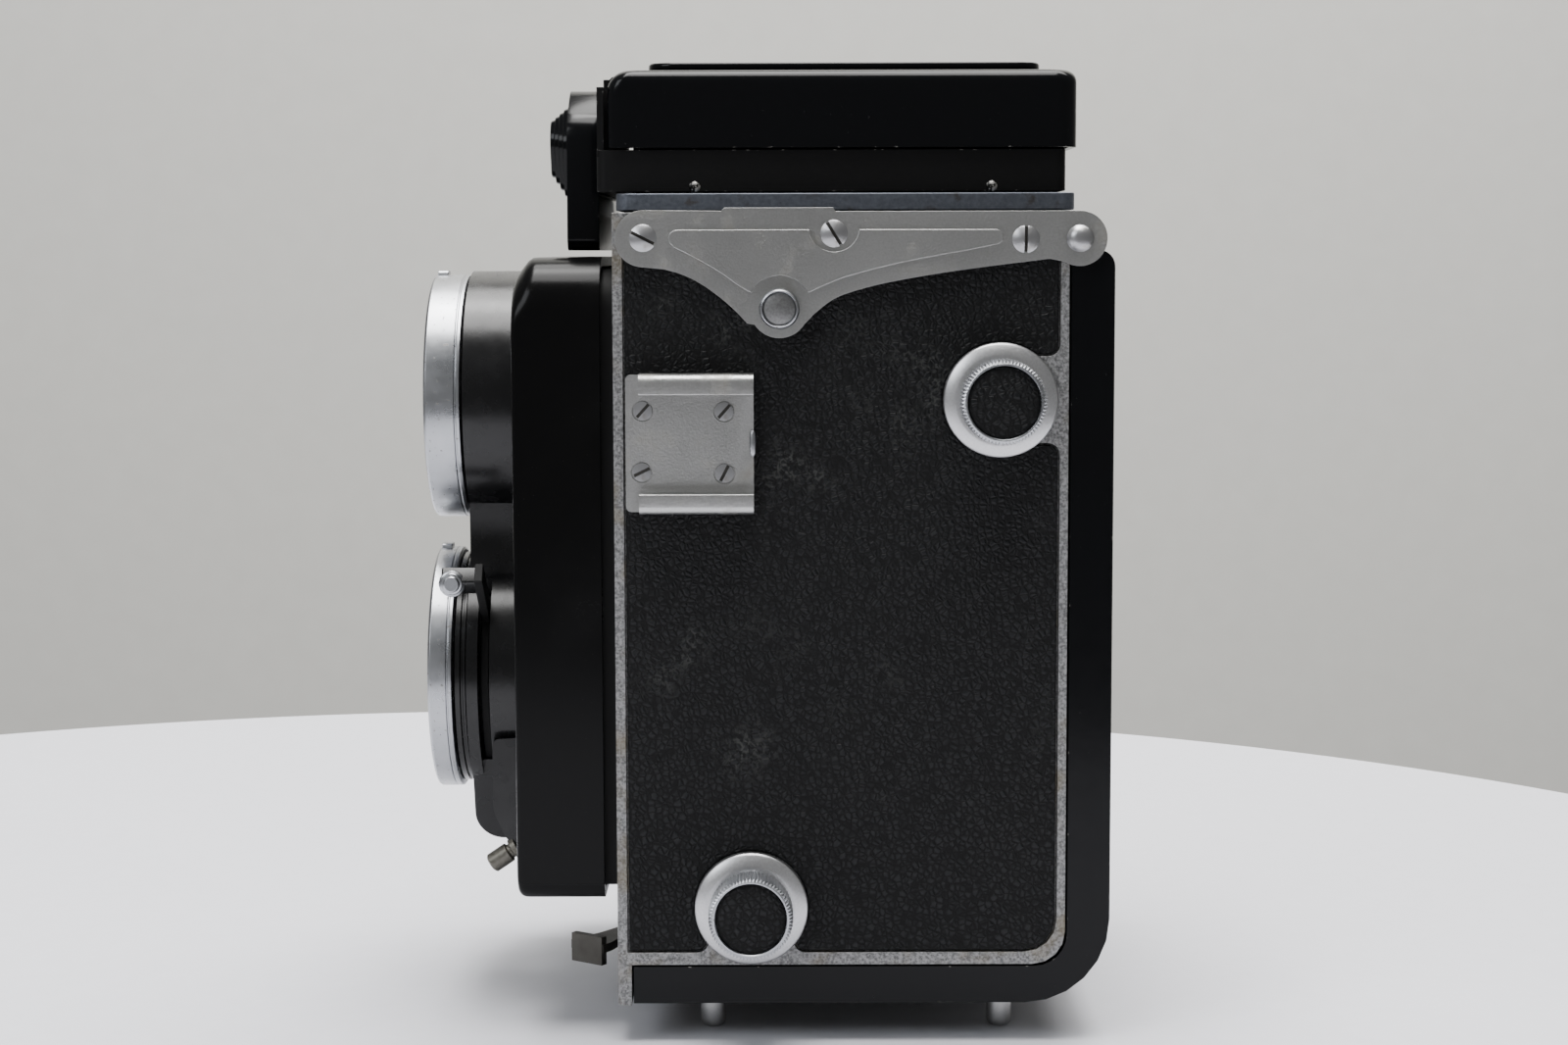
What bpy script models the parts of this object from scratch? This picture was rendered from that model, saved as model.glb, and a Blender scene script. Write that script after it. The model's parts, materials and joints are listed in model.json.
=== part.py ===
"""A twin lens reflex camera for roll film, as an assembly of separate pieces.

The frame of the design: X = 0 is the plane of the two lenses, Y = 0 is the front
face of the casting with +Y to the back, and Z = 0 is the surface it stands on.
Sizes are in millimetres and MM turns them into metres where a mesh is made.  The
last empty, camera_origin, moves the whole camera so that the middle of its box is
over the world's origin.
"""

import math

import bmesh
import bpy
from mathutils import Matrix, Vector

MM = 0.001

# Fits
GAP = 0.3            # between two pieces that seat on each other
RUN = 0.4            # between a shaft and its hole
THROUGH = 1.0        # how far a cutter runs past the face it leaves

# Overall layout
BODY_HALF = 40.0     # half width of the casting
BODY_DEPTH = 68.4    # front face to rear face of the casting
TAKING_Z = 52.6      # height of the taking lens
LENS_SPACING = 44.8  # taking lens to viewing lens
VIEWING_Z = TAKING_Z + LENS_SPACING
BODY_TOP = VIEWING_Z + 29.3
SKIRT_BOTTOM = 5.9   # lowest edge of the casting, at the front
SKIRT_DEPTH = 2.1
BODY_BOTTOM = 12.2   # underside of the casting behind the skirt
REAR_CORNER = 5.0    # radius at the casting's lower rear corner

# Leatherette and its border
BORDER_FRONT = 1.5
BORDER_REAR = 1.3
BORDER_BOTTOM = 1.9
LEATHER_TOP = BODY_TOP - 3.0
LEATHER_DEPTH = 1.1  # depth of the recess that it lies in
LEATHER_FACE = BODY_HALF - 0.1

# Spools
SPOOL_HALF = BODY_HALF - 7.5
SPOOL_RADIUS = 12.5
CHAMBER_RADIUS = SPOOL_RADIUS + 1.3
CHAMBER_HALF = SPOOL_HALF + 1.0
UPPER_SPOOL = (BODY_DEPTH - SPOOL_RADIUS + 2.2, VIEWING_Z + 1.25)
LOWER_SPOOL = (SPOOL_RADIUS + 7.95, SPOOL_RADIUS + 8.75)
FLANGE_RADIUS = 8.65
FLANGE_THICK = 1.8
BOSS_RADIUS = FLANGE_RADIUS - 0.3
WEB_HALF = 6.5       # half width of the web between a boss and the border
WEB_FILLET = 1.8
PIN_RADIUS = 3.0
PIN_BITE = 2.0       # how far a pin or a key reaches into a spool's end
KNOB_RADIUS = 6.4
KNOB_STAND = 0.5     # clear of the flange
SPOOL_CORE = 6.0
SPOOL_RIM = 1.5
KEY_LENGTH = 4.5

# Door
DOOR_WALL = 1.2
DOOR_BACK_WALL = 1.7
DOOR_BOTTOM = 6.2
DOOR_REAR = BODY_DEPTH + 6.8
DOOR_TOP = BODY_TOP - 5.7
DOOR_CORNER = 13.0
DOOR_LIP = 1.4       # how far the hollow of the door runs past the casting
HINGE = (BODY_DEPTH + 1.35, BODY_TOP - 4.0)
HINGE_PIN_RADIUS = 1.05
EAR_RADIUS = 2.7
EAR_INNER = BODY_HALF - 7.0
EAR_OUTER = BODY_HALF - 2.4
BACK_LEATHER_DEPTH = 0.9
BACK_LEATHER_HALF = BODY_HALF - 5.0
PRESSURE_HALF = 31.0
PRESSURE_THICK = 1.2
FOOT_RADIUS = 1.95
FEET_X = 30.0
FEET_Y = (14.3, BODY_DEPTH - 9.3)
SOCKET_Y = 36.0
SOCKET_RADIUS = 9.5
SOCKET_LOW = 2.6
THREAD_RADIUS = 3.2
LATCH_RADIUS = 13.0
LATCH_TAB = 3.5      # how far the ring's tab stands out from it
BOLT_HALF = 4.0
BOLT_THICK = 1.2

# Front standard
BOARD_HALF = BODY_HALF - 4.0
BOARD_FRONT = -15.7
BOARD_REAR = -2.2
BOARD_BOTTOM = 21.3
BOARD_TOP = BODY_TOP - 6.6
BOARD_WALL = 1.5
BOARD_CORNER = 8.0
HOUSING_FRONT = -25.0
HOUSING_REAR = BOARD_FRONT - GAP
HOUSING_FOOT = 7.0   # how far the housing reaches below its lower lobe
TUBE_RADIUS = 15.2
TUBE_REAR = -9.0
HOUSING_RADIUS = TUBE_RADIUS + 5.2
RACE_RADIUS = TUBE_RADIUS + 3.3
RACE_FRONT = -23.6
RACE_REAR = -18.2
WINDOW_INNER = TUBE_RADIUS - 2.6
WINDOW_BELOW = 17.5  # the levers' windows, below and above the taking lens
WINDOW_ABOVE = 19.5
RING_RADIUS = TUBE_RADIUS + 4.6
RING_SHOULDER = 1.0
RING_FRONT = -31.3
GLASS_RADIUS = TUBE_RADIUS - 3.2
REAR_BORE = TUBE_RADIUS - 5.6
FOCUS_TRAVEL = 6.1
LIGHT_FRAME_WALL = 1.2
LIGHT_FRAME_LAP = 1.5    # still inside the board when the board is fully out
BUTTON = (-25.0, BOARD_BOTTOM + 9.0)
BUTTON_RADIUS = 3.2
TERMINAL = (19.0, BOARD_BOTTOM + 4.6)

# Levers
LEVER_ANGLE = math.radians(36.7)
LEVER_REACH = 29.9
LEVER_ARM = 1.6      # half width of a shutter lever's arm
LEVER_THICK = 1.3
LEVER_KNOB_Y = -26.5
LEVER_KNOB_RADIUS = 2.1
LEVER_KNOB_LENGTH = 3.2
SPEED_LEVER_FRONT = RACE_FRONT + 0.7
APERTURE_LEVER_FRONT = RACE_FRONT + 3.2
FOCUS_PIVOT_Y = 6.3
FOCUS_REACH = 28.0
FOCUS_ANGLE = math.radians(55.0)
FOCUS_HUB = 3.0
FOCUS_SCREW = 1.1
FOCUS_LOW = 8.0
FOCUS_HIGH = 11.6
FOCUS_THICK = 1.4

# Hood
PLATE_HEIGHT = 2.6
FRAME_HEIGHT = 6.2
LID_HEIGHT = 11.6
HOOD_HALF = BODY_HALF - 3.7
HOOD_FRONT = -1.0
HOOD_REAR = BODY_DEPTH + 1.5
HOOD_WALL = 1.2
PLATE_FRONT = 0.4
FRAME_WALL = 1.6
FRAME_FRONT = HOOD_FRONT - 1.5
FRAME_REAR = HOOD_REAR - 1.7
FRAME_HALF = HOOD_HALF - 0.8
BARREL_HALF = 22.0
BARREL_RADIUS = 0.9
CATCH_HALF = 4.0
FINDER_HALF = 29.0
FINDER_FRONT = 5.0
FINDER_REAR = HOOD_REAR - 4.9
PANEL_LENGTH = 28.0
PANEL_THICKNESS = 0.8
PANEL_INSET = 1.2    # the panels' hinges, in from the frame's wall
MAGNIFIER_AT = 31.0
MAGNIFIER_LENGTH = 34.0
MAGNIFIER_HALF = 15.0
MAGNIFIER_GLASS = 11.0
MAGNIFIER_THICK = 1.8
SCREEN_HALF = BODY_HALF - 11.0
SCREEN_FRONT = 4.0
SCREEN_REAR = BODY_DEPTH - 7.4
SCREEN_TOP = BODY_TOP - 1.7
SCREEN_THICK = 1.8
SCREEN_BOTTOM = SCREEN_TOP - SCREEN_THICK

# Inside the body
MIRROR_Y = (SCREEN_FRONT + SCREEN_REAR) / 2 + 0.5
MIRROR_LOW = 7.0     # depth of the mirror's lower edge
MIRROR_NARROW = 18.0
MIRROR_THICK = 1.2
MIRROR_CHAMBER_FRONT = 5.0
GATE_HALF = 28.0
IMAGE_MOUTH = 11.0

# Accessory shoe
SHOE_HALF = 10.5
SHOE_MIDDLE = VIEWING_Z - 5.1
SHOE_FRONT = 1.9
SHOE_LENGTH = 19.2
SHOE_BASE = 1.2
SHOE_SLOT = 2.1
SHOE_LIP = 1.0
SHOE_LIP_WIDTH = 3.1

# Crank, on the far side from the spool knobs
CRANK = (41.0, TAKING_Z + 27.4)
CRANK_REACH = 21.0
CRANK_OUT = 13.9     # how far the grip stands out from the casting
CRANK_SOCKET = 4.0
CRANK_SHAFT = 3.8
CRANK_STAND = 2.4    # the arm's inner face, out from the casting's fittings
CRANK_THICK = 2.2
CRANK_BIG_END = 6.4
CRANK_SMALL_END = 4.2
COLLAR_RADIUS = 11.0
COLLAR_THICK = 2.0

# Nameplate
NAMEPLATE_HALF = 26.0
NAMEPLATE_FRONT = -7.7
BADGE_FRONT = -11.8
BADGE_STEPS = ((12.5, 10.0, -9.1), (9.5, 8.0, -10.5), (6.5, 6.0, BADGE_FRONT))

# Heights and places that follow
PLATE_BOTTOM = BODY_TOP + GAP
FRAME_BOTTOM = PLATE_BOTTOM + PLATE_HEIGHT + GAP
LID_BOTTOM = FRAME_BOTTOM + FRAME_HEIGHT + GAP
LID_TOP = LID_BOTTOM + LID_HEIGHT
LID_HINGE = (-0.4, LID_TOP - 1.0)
BRACKET_INNER = BODY_HALF + GAP
BRACKET_OUTER = BRACKET_INNER + 1.0
STUD = (25.0, BODY_TOP - 14.3)
FINDER_RISE = 1.5    # raised finder panel above the lid
KNOB_OUTER = BODY_HALF + 8.3
FRONT_REACH = RING_FRONT
LEFT_REACH = -(BODY_HALF + CRANK_OUT)
SIDES = (("right", 1), ("left", -1))

FINISHES = {
    "enamel": ((0.015, 0.015, 0.016), 0.35, 0.0),
    "grey_paint": ((0.55, 0.55, 0.54), 0.45, 0.2),
    "leatherette": ((0.02, 0.02, 0.02), 0.75, 0.0),
    "chrome": ((0.75, 0.75, 0.75), 0.15, 1.0),
    "nickel": ((0.62, 0.61, 0.58), 0.35, 1.0),
    "steel": ((0.35, 0.38, 0.42), 0.4, 1.0),
    "brass": ((0.45, 0.36, 0.22), 0.4, 1.0),
    "glass": ((0.10, 0.11, 0.14), 0.05, 0.0),
    "mirror": ((0.9, 0.9, 0.9), 0.03, 1.0),
    "plastic": ((0.03, 0.03, 0.03), 0.5, 0.0),
}

# Each plane turns a shape's own x, y, z into the camera's axes.  On "Y" the shape
# grows towards the front, and on "-X" towards the camera's left.
PLANES = {
    "Z": Matrix(((1, 0, 0), (0, 1, 0), (0, 0, 1))),
    "X": Matrix(((0, 0, 1), (1, 0, 0), (0, 1, 0))),
    "-X": Matrix(((0, 0, -1), (1, 0, 0), (0, -1, 0))),
    "Y": Matrix(((1, 0, 0), (0, 0, -1), (0, 1, 0))),
}


# ---------------------------------------------------------------- scene and helpers

def start_scene():
    for old in list(bpy.data.objects):
        bpy.data.objects.remove(old, do_unlink=True)
    groups = []
    for title in ("twin_lens_reflex_camera", "cutters"):
        group = bpy.data.collections.new(title)
        bpy.context.scene.collection.children.link(group)
        groups.append(group)
    return groups


PARTS, CUTTERS = start_scene()


def hub(name, at, parent=None):
    """An empty on a joint's axis, at a place in the design's frame."""
    empty = bpy.data.objects.new(name, None)
    PARTS.objects.link(empty)
    settle(empty, at, parent)
    return empty


def settle(thing, at, parent):
    """Parent a thing and put it at a place in the design's frame."""
    place = Vector(at) * MM
    thing.parent = parent
    while parent is not None and parent is not ORIGIN:
        place -= parent.location
        parent = parent.parent
    thing.location = place


def make_material(name, kind):
    colour, roughness, metallic = FINISHES[kind]
    material = bpy.data.materials.new(name + "_finish")
    material.use_nodes = True
    shader = material.node_tree.nodes["Principled BSDF"]
    shader.inputs["Base Color"].default_value = (*colour, 1.0)
    shader.inputs["Roughness"].default_value = roughness
    shader.inputs["Metallic"].default_value = metallic
    return material


def add(name, mesh, kind, at, plane="Z", parent=None):
    """Link a mesh as a part, or as a cutter where it has no finish."""
    thing = bpy.data.objects.new(name, mesh)
    if kind is None:
        CUTTERS.objects.link(thing)
        thing.hide_render = True
        thing.display_type = "WIRE"
    else:
        PARTS.objects.link(thing)
        mesh.materials.append(make_material(name, kind))
    thing.rotation_euler = PLANES[plane].to_euler()
    settle(thing, at, parent or ORIGIN)
    return thing


def block(name, low, high, kind=None, parent=None):
    """A box between two corners."""
    sizes = [(b - a) * MM for a, b in zip(low, high)]
    shape = bmesh.new()
    bmesh.ops.create_cube(shape, size=1.0)
    bmesh.ops.scale(shape, vec=sizes, verts=shape.verts)
    mesh = bpy.data.meshes.new(name)
    shape.to_mesh(mesh)
    shape.free()
    return add(name, mesh, kind, [(a + b) / 2 for a, b in zip(low, high)], parent=parent)


def rod(name, at, plane, radius, length, kind=None, sides=24, parent=None, end_radius=None):
    """A round bar, or a cone, that grows from a place along its plane's own z."""
    shape = bmesh.new()
    tip = radius if end_radius is None else end_radius
    bmesh.ops.create_cone(shape, cap_ends=True, segments=sides, radius1=radius * MM,
                          radius2=tip * MM, depth=length * MM)
    bmesh.ops.translate(shape, vec=(0, 0, length * MM / 2), verts=shape.verts)
    mesh = bpy.data.meshes.new(name)
    shape.to_mesh(mesh)
    shape.free()
    mesh.shade_smooth()
    mesh.set_sharp_from_angle(angle=math.radians(40))
    return add(name, mesh, kind, at, plane, parent)


def turned(name, at, plane, profile, kind=None, sides=24, parent=None):
    """Turn a profile of (radius, height) points that runs down its outer side."""
    shape = bmesh.new()
    points = [shape.verts.new((r * MM, 0, t * MM)) for r, t in profile]
    for first, second in zip(points, points[1:]):
        shape.edges.new((first, second))
    if profile[0][0] > 0:
        shape.edges.new((points[-1], points[0]))
    mesh = bpy.data.meshes.new(name)
    shape.to_mesh(mesh)
    shape.free()
    thing = add(name, mesh, kind, at, plane, parent)
    screw = thing.modifiers.new("turn", "SCREW")
    screw.steps = sides
    screw.render_steps = sides
    screw.use_merge_vertices = True
    screw.merge_threshold = 0.00001
    return thing


def arc(centre, radius, start, end, steps):
    """Points along an arc, with its angles in degrees."""
    points = []
    for i in range(steps + 1):
        a = math.radians(start + (end - start) * i / steps)
        points.append((centre[0] + radius * math.cos(a), centre[1] + radius * math.sin(a)))
    return points


def circle(centre, radius, sides=24):
    return arc(centre, radius, 0, 360, sides)[:-1]


def rounded(corners, steps=4):
    """An outline whose corners (u, v, radius) are rounded by tangent arcs."""
    outline = []
    for i, (u, v, radius) in enumerate(corners):
        here = Vector((u, v))
        if radius == 0:
            outline.append((u, v))
            continue
        before = (Vector(corners[i - 1][:2]) - here).normalized()
        after = (Vector(corners[(i + 1) % len(corners)][:2]) - here).normalized()
        half = before.angle(after) / 2
        middle = here + (before + after).normalized() * radius / math.sin(half)
        first = here + before * radius / math.tan(half) - middle
        last = here + after * radius / math.tan(half) - middle
        turn = first.angle_signed(last)
        for k in range(steps + 1):
            spoke = first.copy()
            spoke.rotate(Matrix.Rotation(-turn * k / steps, 2))
            outline.append(tuple(middle + spoke))
    return outline


def plate(name, plane, outline, low, high, kind=None, holes=(), parent=None):
    """A flat outline with holes, given a thickness from low to high across its plane."""
    curve = bpy.data.curves.new(name, "CURVE")
    curve.dimensions = "2D"
    curve.fill_mode = "BOTH"
    curve.extrude = (high - low) * MM / 2
    for ring in (outline, *holes):
        spline = curve.splines.new("POLY")
        spline.points.add(len(ring) - 1)
        for point, (u, v) in zip(spline.points, ring):
            point.co = (u * MM, v * MM, 0, 1)
        spline.use_cyclic_u = True
    guide = bpy.data.objects.new(name + "_outline", curve)
    bpy.context.scene.collection.objects.link(guide)
    graph = bpy.context.evaluated_depsgraph_get()
    mesh = bpy.data.meshes.new_from_object(guide.evaluated_get(graph))
    bpy.data.objects.remove(guide, do_unlink=True)
    mesh.materials.clear()
    shape = bmesh.new()
    shape.from_mesh(mesh)
    bmesh.ops.remove_doubles(shape, verts=shape.verts, dist=0.000005)
    bmesh.ops.recalc_face_normals(shape, faces=shape.faces)
    shape.to_mesh(mesh)
    shape.free()
    mesh.name = name
    middle = (low + high) / 2
    at = {"X": (middle, 0, 0), "Y": (0, middle, 0), "Z": (0, 0, middle)}[plane]
    return add(name, mesh, kind, at, plane, parent)


def cut(body, tool):
    step = body.modifiers.new("cut_" + tool.name[:40], "BOOLEAN")
    step.operation = "DIFFERENCE"
    step.object = tool


def join(body, tool):
    step = body.modifiers.new("join_" + tool.name[:40], "BOOLEAN")
    step.operation = "UNION"
    step.object = tool


def on_side(sign, inner, outer):
    """The lower and upper X of something on the right (+1) or left (-1) side."""
    return tuple(sorted((sign * inner, sign * outer)))


ORIGIN = None
ORIGIN = hub("camera_origin", (-(KNOB_OUTER + LEFT_REACH) / 2, -(DOOR_REAR + FRONT_REACH) / 2, 0))


# ---------------------------------------------------------------- casting

def casting_outline():
    return rounded([
        (0, SKIRT_BOTTOM, 0), (SKIRT_DEPTH, SKIRT_BOTTOM, 0), (SKIRT_DEPTH, BODY_BOTTOM, 0),
        (BODY_DEPTH, BODY_BOTTOM, REAR_CORNER), (BODY_DEPTH, BODY_TOP, 0), (0, BODY_TOP, 0)])


def leather_outline(inset):
    """The recess of the leatherette, or the leatherette itself where inset is a gap."""
    front = BORDER_FRONT + inset
    rear = BODY_DEPTH - BORDER_REAR - inset
    bottom = BODY_BOTTOM + BORDER_BOTTOM + inset
    return rounded([(front, bottom, 0), (rear, bottom, REAR_CORNER - inset),
                    (rear, LEATHER_TOP - inset, 0), (front, LEATHER_TOP - inset, 0)])


def boss_outlines(gap):
    """A round boss under each spool flange, joined to the border by a web with hollow fillets."""
    radius = BOSS_RADIUS + gap
    half = WEB_HALF + gap
    fillet = WEB_FILLET - gap
    open_end = half + fillet + THROUGH
    outlines = []
    for name, spot, edge, over in (
            ("upper", UPPER_SPOOL, BODY_DEPTH - BORDER_REAR - gap, Vector((1, 0))),
            ("lower", LOWER_SPOOL, BODY_BOTTOM + BORDER_BOTTOM + gap, Vector((0, -1)))):
        across = Vector((-over.y, over.x))
        centre = Vector(spot)
        reach = abs(edge - (spot[0] if over.x else spot[1]))
        start = math.degrees(math.atan2(over.y, over.x)) + math.degrees(math.asin(half / radius))
        ring = arc(spot, radius, start, start + 360 - 2 * math.degrees(math.asin(half / radius)), 28)
        web = [(reach, -half, fillet), (reach, -open_end, 0), (reach + THROUGH, -open_end, 0),
               (reach + THROUGH, open_end, 0), (reach, open_end, 0), (reach, half, fillet)]
        corners = [(*(centre + over * u + across * v), r) for u, v, r in web]
        outlines.append((name, rounded([(*point, 0) for point in ring] + corners)))
    return outlines


def make_recesses(casting):
    """A shallow recess for each side's leatherette, round the two spool bosses."""
    for side, sign in SIDES:
        low, high = on_side(sign, BODY_HALF - LEATHER_DEPTH, BODY_HALF + THROUGH)
        recess = plate(side + "_recess", "X", leather_outline(0), low, high)
        if sign > 0:
            for name, outline in boss_outlines(0):
                boss = plate(name + "_boss", "X", outline, low - THROUGH, high + THROUGH)
                cut(recess, boss)
        cut(casting, recess)


def mirror_line(y, below=0.0):
    """Height of the mirror's face at a depth, or of a line that lies below it."""
    return VIEWING_Z + y - MIRROR_Y - below * math.sqrt(2)


def make_chambers(casting):
    """Mirror chamber, image chamber, both spool chambers and the openings between."""
    floor_drop = MIRROR_THICK + GAP
    ledge = SCREEN_BOTTOM - GAP
    rear = MIRROR_Y + ledge - VIEWING_Z + floor_drop * math.sqrt(2)
    mirror_space = plate("mirror_space", "X", [
        (MIRROR_CHAMBER_FRONT, mirror_line(MIRROR_CHAMBER_FRONT, floor_drop)), (rear, ledge),
        (rear, ledge + GAP / 2), (MIRROR_CHAMBER_FRONT, ledge + GAP / 2)],
        -SCREEN_HALF + THROUGH, SCREEN_HALF - THROUGH)
    cut(casting, mirror_space)
    screen_seat = block("screen_seat", (-SCREEN_HALF - GAP, SCREEN_FRONT - GAP, ledge),
                        (SCREEN_HALF + GAP, SCREEN_REAR + GAP, BODY_TOP + THROUGH))
    cut(casting, screen_seat)
    viewing_hole = rod("viewing_hole", (0, MIRROR_CHAMBER_FRONT + THROUGH, VIEWING_Z), "Y",
                       TUBE_RADIUS - 2, MIRROR_CHAMBER_FRONT + 2 * THROUGH)
    cut(casting, viewing_hole)
    image_space = rod("image_space", (0, BODY_DEPTH + THROUGH, TAKING_Z), "Y",
                      GATE_HALF * math.sqrt(2), BODY_DEPTH + 2 * THROUGH, sides=4,
                      end_radius=IMAGE_MOUTH * math.sqrt(2))
    image_space.rotation_euler.rotate_axis("Z", math.radians(45))
    cut(casting, image_space)
    for name, spot in (("upper", UPPER_SPOOL), ("lower", LOWER_SPOOL)):
        space = rod(name + "_spool_space", (-CHAMBER_HALF, *spot), "X", CHAMBER_RADIUS,
                    2 * CHAMBER_HALF, sides=28)
        cut(casting, space)
    mouth_half = CHAMBER_HALF - 0.5
    cut(casting, block("rear_mouth", (-mouth_half, UPPER_SPOOL[0], UPPER_SPOOL[1] - CHAMBER_RADIUS + 1),
                       (mouth_half, BODY_DEPTH + THROUGH, UPPER_SPOOL[1] + CHAMBER_RADIUS - 1)))
    cut(casting, block("bottom_mouth",
                       (-mouth_half, LOWER_SPOOL[0] - CHAMBER_RADIUS + 4, BODY_BOTTOM - THROUGH),
                       (mouth_half, BODY_DEPTH - REAR_CORNER - 2, LOWER_SPOOL[1] - 0.7)))


def make_bearings(casting):
    """Holes for the spool pins, the winding key, the crank and the door's hinge."""
    for name, spot in (("upper", UPPER_SPOOL), ("lower", LOWER_SPOOL)):
        cut(casting, rod(name + "_pin_hole", (CHAMBER_HALF - THROUGH, *spot), "X", PIN_RADIUS + RUN,
                         BODY_HALF - CHAMBER_HALF + 2 * THROUGH, sides=16))
    cut(casting, rod("key_hole", (-CHAMBER_HALF + THROUGH, *LOWER_SPOOL), "-X", PIN_RADIUS + RUN,
                     KEY_LENGTH + GAP, sides=16))
    cut(casting, rod("crank_hole", (-BODY_HALF + CRANK_SOCKET, *CRANK), "-X", CRANK_SHAFT + RUN,
                     CRANK_SOCKET + THROUGH, sides=16))
    for side, sign in SIDES:
        low, high = on_side(sign, EAR_INNER - 1.5, EAR_OUTER + 0.9)
        cut(casting, rod(side + "_ear_space", (low, *HINGE), "X", EAR_RADIUS + 3.6, high - low, sides=20))
        low, high = on_side(sign, EAR_OUTER, BODY_HALF + THROUGH)
        cut(casting, rod(side + "_pin_hole", (low, *HINGE), "X", HINGE_PIN_RADIUS + RUN, high - low,
                         sides=12))


def make_focus_slot(casting):
    """The pocket of the focusing lever's hub and its slot through the skirt."""
    cut(casting, rod("hub_pocket", (0, FOCUS_PIVOT_Y, BODY_BOTTOM - THROUGH), "Z",
                     FOCUS_SCREW + RUN, 4.2, sides=12))
    reach = (FOCUS_PIVOT_Y * math.tan(FOCUS_ANGLE)) + 5.5
    cut(casting, block("lever_slot", (-reach, -THROUGH, FOCUS_LOW - GAP),
                       (reach, SKIRT_DEPTH + THROUGH, FOCUS_HIGH + GAP)))


def make_casting():
    casting = plate("body_casting", "X", casting_outline(), -BODY_HALF, BODY_HALF, "grey_paint")
    make_recesses(casting)
    make_chambers(casting)
    make_bearings(casting)
    make_focus_slot(casting)


def make_leatherette():
    inner = BODY_HALF - LEATHER_DEPTH + GAP
    for side, sign in SIDES:
        low, high = on_side(sign, inner, LEATHER_FACE)
        skin = plate(side + "_leatherette", "X", leather_outline(GAP), low, high, "leatherette")
        if sign > 0:
            for name, outline in boss_outlines(GAP):
                cut(skin, plate(name + "_leather_hole", "X", outline, low - THROUGH, high + THROUGH))
        else:
            cut(skin, rod("crank_leather_hole", (low - THROUGH, *CRANK), "X", CRANK_SHAFT + RUN,
                          high - low + 2 * THROUGH, sides=16))


# ---------------------------------------------------------------- side fittings

def bracket_outline():
    """A long top strap with a round lobe at each end and one round the strap stud."""
    top = BODY_TOP
    left_lobe = (4.7, top - 3.9)
    right_lobe = (HINGE[0], HINGE[1])
    points = arc(left_lobe, 4.1, 90, 262, 7)
    points += [(9.0, top - 8.8), (14.5, top - 11.4), (19.2, top - 15.6)]
    points += arc(STUD, 4.4, 225, 315, 4)
    points += [(30.6, top - 14.2), (36.5, top - 11.2), (48.5, top - 9.2), (63.4, top - 7.1)]
    points += arc(right_lobe, 4.0, 245, 450, 8)
    return points


def make_brackets():
    """The strap bracket on each side, its stud and the pin of the door's hinge."""
    stud_profile = [(0, 2.6), (2.5, 2.6), (3.0, 2.1), (3.0, 0.4), (2.3, 0), (0, 0)]
    pin_end = BRACKET_OUTER + GAP
    head = [(0, 1.1), (1.3, 0.9), (2.05, 0), (HINGE_PIN_RADIUS, 0),
            (HINGE_PIN_RADIUS, EAR_INNER - pin_end), (0, EAR_INNER - pin_end)]
    for side, sign in SIDES:
        outward = "X" if sign > 0 else "-X"
        low, high = on_side(sign, BRACKET_INNER, BRACKET_OUTER)
        plate(side + "_bracket", "X", bracket_outline(), low, high, "nickel",
              holes=[circle(HINGE, HINGE_PIN_RADIUS + GAP, 12)])
        turned(side + "_strap_stud", (sign * pin_end, *STUD), outward, stud_profile, "chrome", 20)
        turned(side + "_hinge_pin", (sign * pin_end, *HINGE), outward, head, "nickel", 16)


def make_shoe():
    """The accessory shoe: a base folded over twice to make two lips."""
    inner = LEATHER_FACE + GAP
    base = inner + SHOE_BASE
    lip = base + SHOE_SLOT
    outer = lip + SHOE_LIP
    low = SHOE_MIDDLE - SHOE_HALF
    high = SHOE_MIDDLE + SHOE_HALF
    lip_low = low + SHOE_LIP_WIDTH
    lip_high = high - SHOE_LIP_WIDTH
    outline = [(inner, low), (outer, low), (outer, lip_low), (lip, lip_low), (lip, low + SHOE_BASE),
               (base, low + SHOE_BASE), (base, high - SHOE_BASE), (lip, high - SHOE_BASE),
               (lip, lip_high), (outer, lip_high), (outer, high), (inner, high)]
    plate("accessory_shoe", "Y", outline, SHOE_FRONT, SHOE_FRONT + SHOE_LENGTH, "nickel")


def make_spool_knob(name, spot):
    """A flange on the side, a pin that pulls out and a knob that turns on the pin."""
    face = BODY_HALF + GAP
    bore = PIN_RADIUS + RUN
    dish = FLANGE_THICK * 0.6
    flange = [(bore, dish), (FLANGE_RADIUS - 1.75, dish), (FLANGE_RADIUS - 1.05, FLANGE_THICK),
              (FLANGE_RADIUS - 0.55, FLANGE_THICK), (FLANGE_RADIUS, dish), (FLANGE_RADIUS, 0), (bore, 0)]
    turned(name + "_spool_flange", (face, *spot), "X", flange, "chrome", 28)
    pull = hub(name + "_pull_hub", (face, *spot), ORIGIN)
    knob_start = face + FLANGE_THICK + KNOB_STAND
    pin_start = SPOOL_HALF - PIN_BITE
    pin_end = knob_start + 3.0
    rod(name + "_spool_pin", (pin_start, *spot), "X", PIN_RADIUS, pin_end - pin_start, "steel",
        sides=16, parent=pull)
    turn = hub(name + "_turn_hub", (knob_start, *spot), pull)
    height = KNOB_OUTER - knob_start
    bore = PIN_RADIUS + GAP
    bore_top = pin_end + GAP - knob_start
    lip = KNOB_RADIUS - 0.4
    knob = [(0, height - 0.5), (lip - 0.6, height - 0.5), (lip - 0.5, height), (lip, height),
            (lip, height - 1.0), (KNOB_RADIUS, height - 1.5), (KNOB_RADIUS, 0.6), (lip - 0.1, 0), (bore, 0),
            (bore, bore_top), (0, bore_top)]
    turned(name + "_spool_knob", (knob_start, *spot), "X", knob, "chrome", 28, parent=turn)


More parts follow.
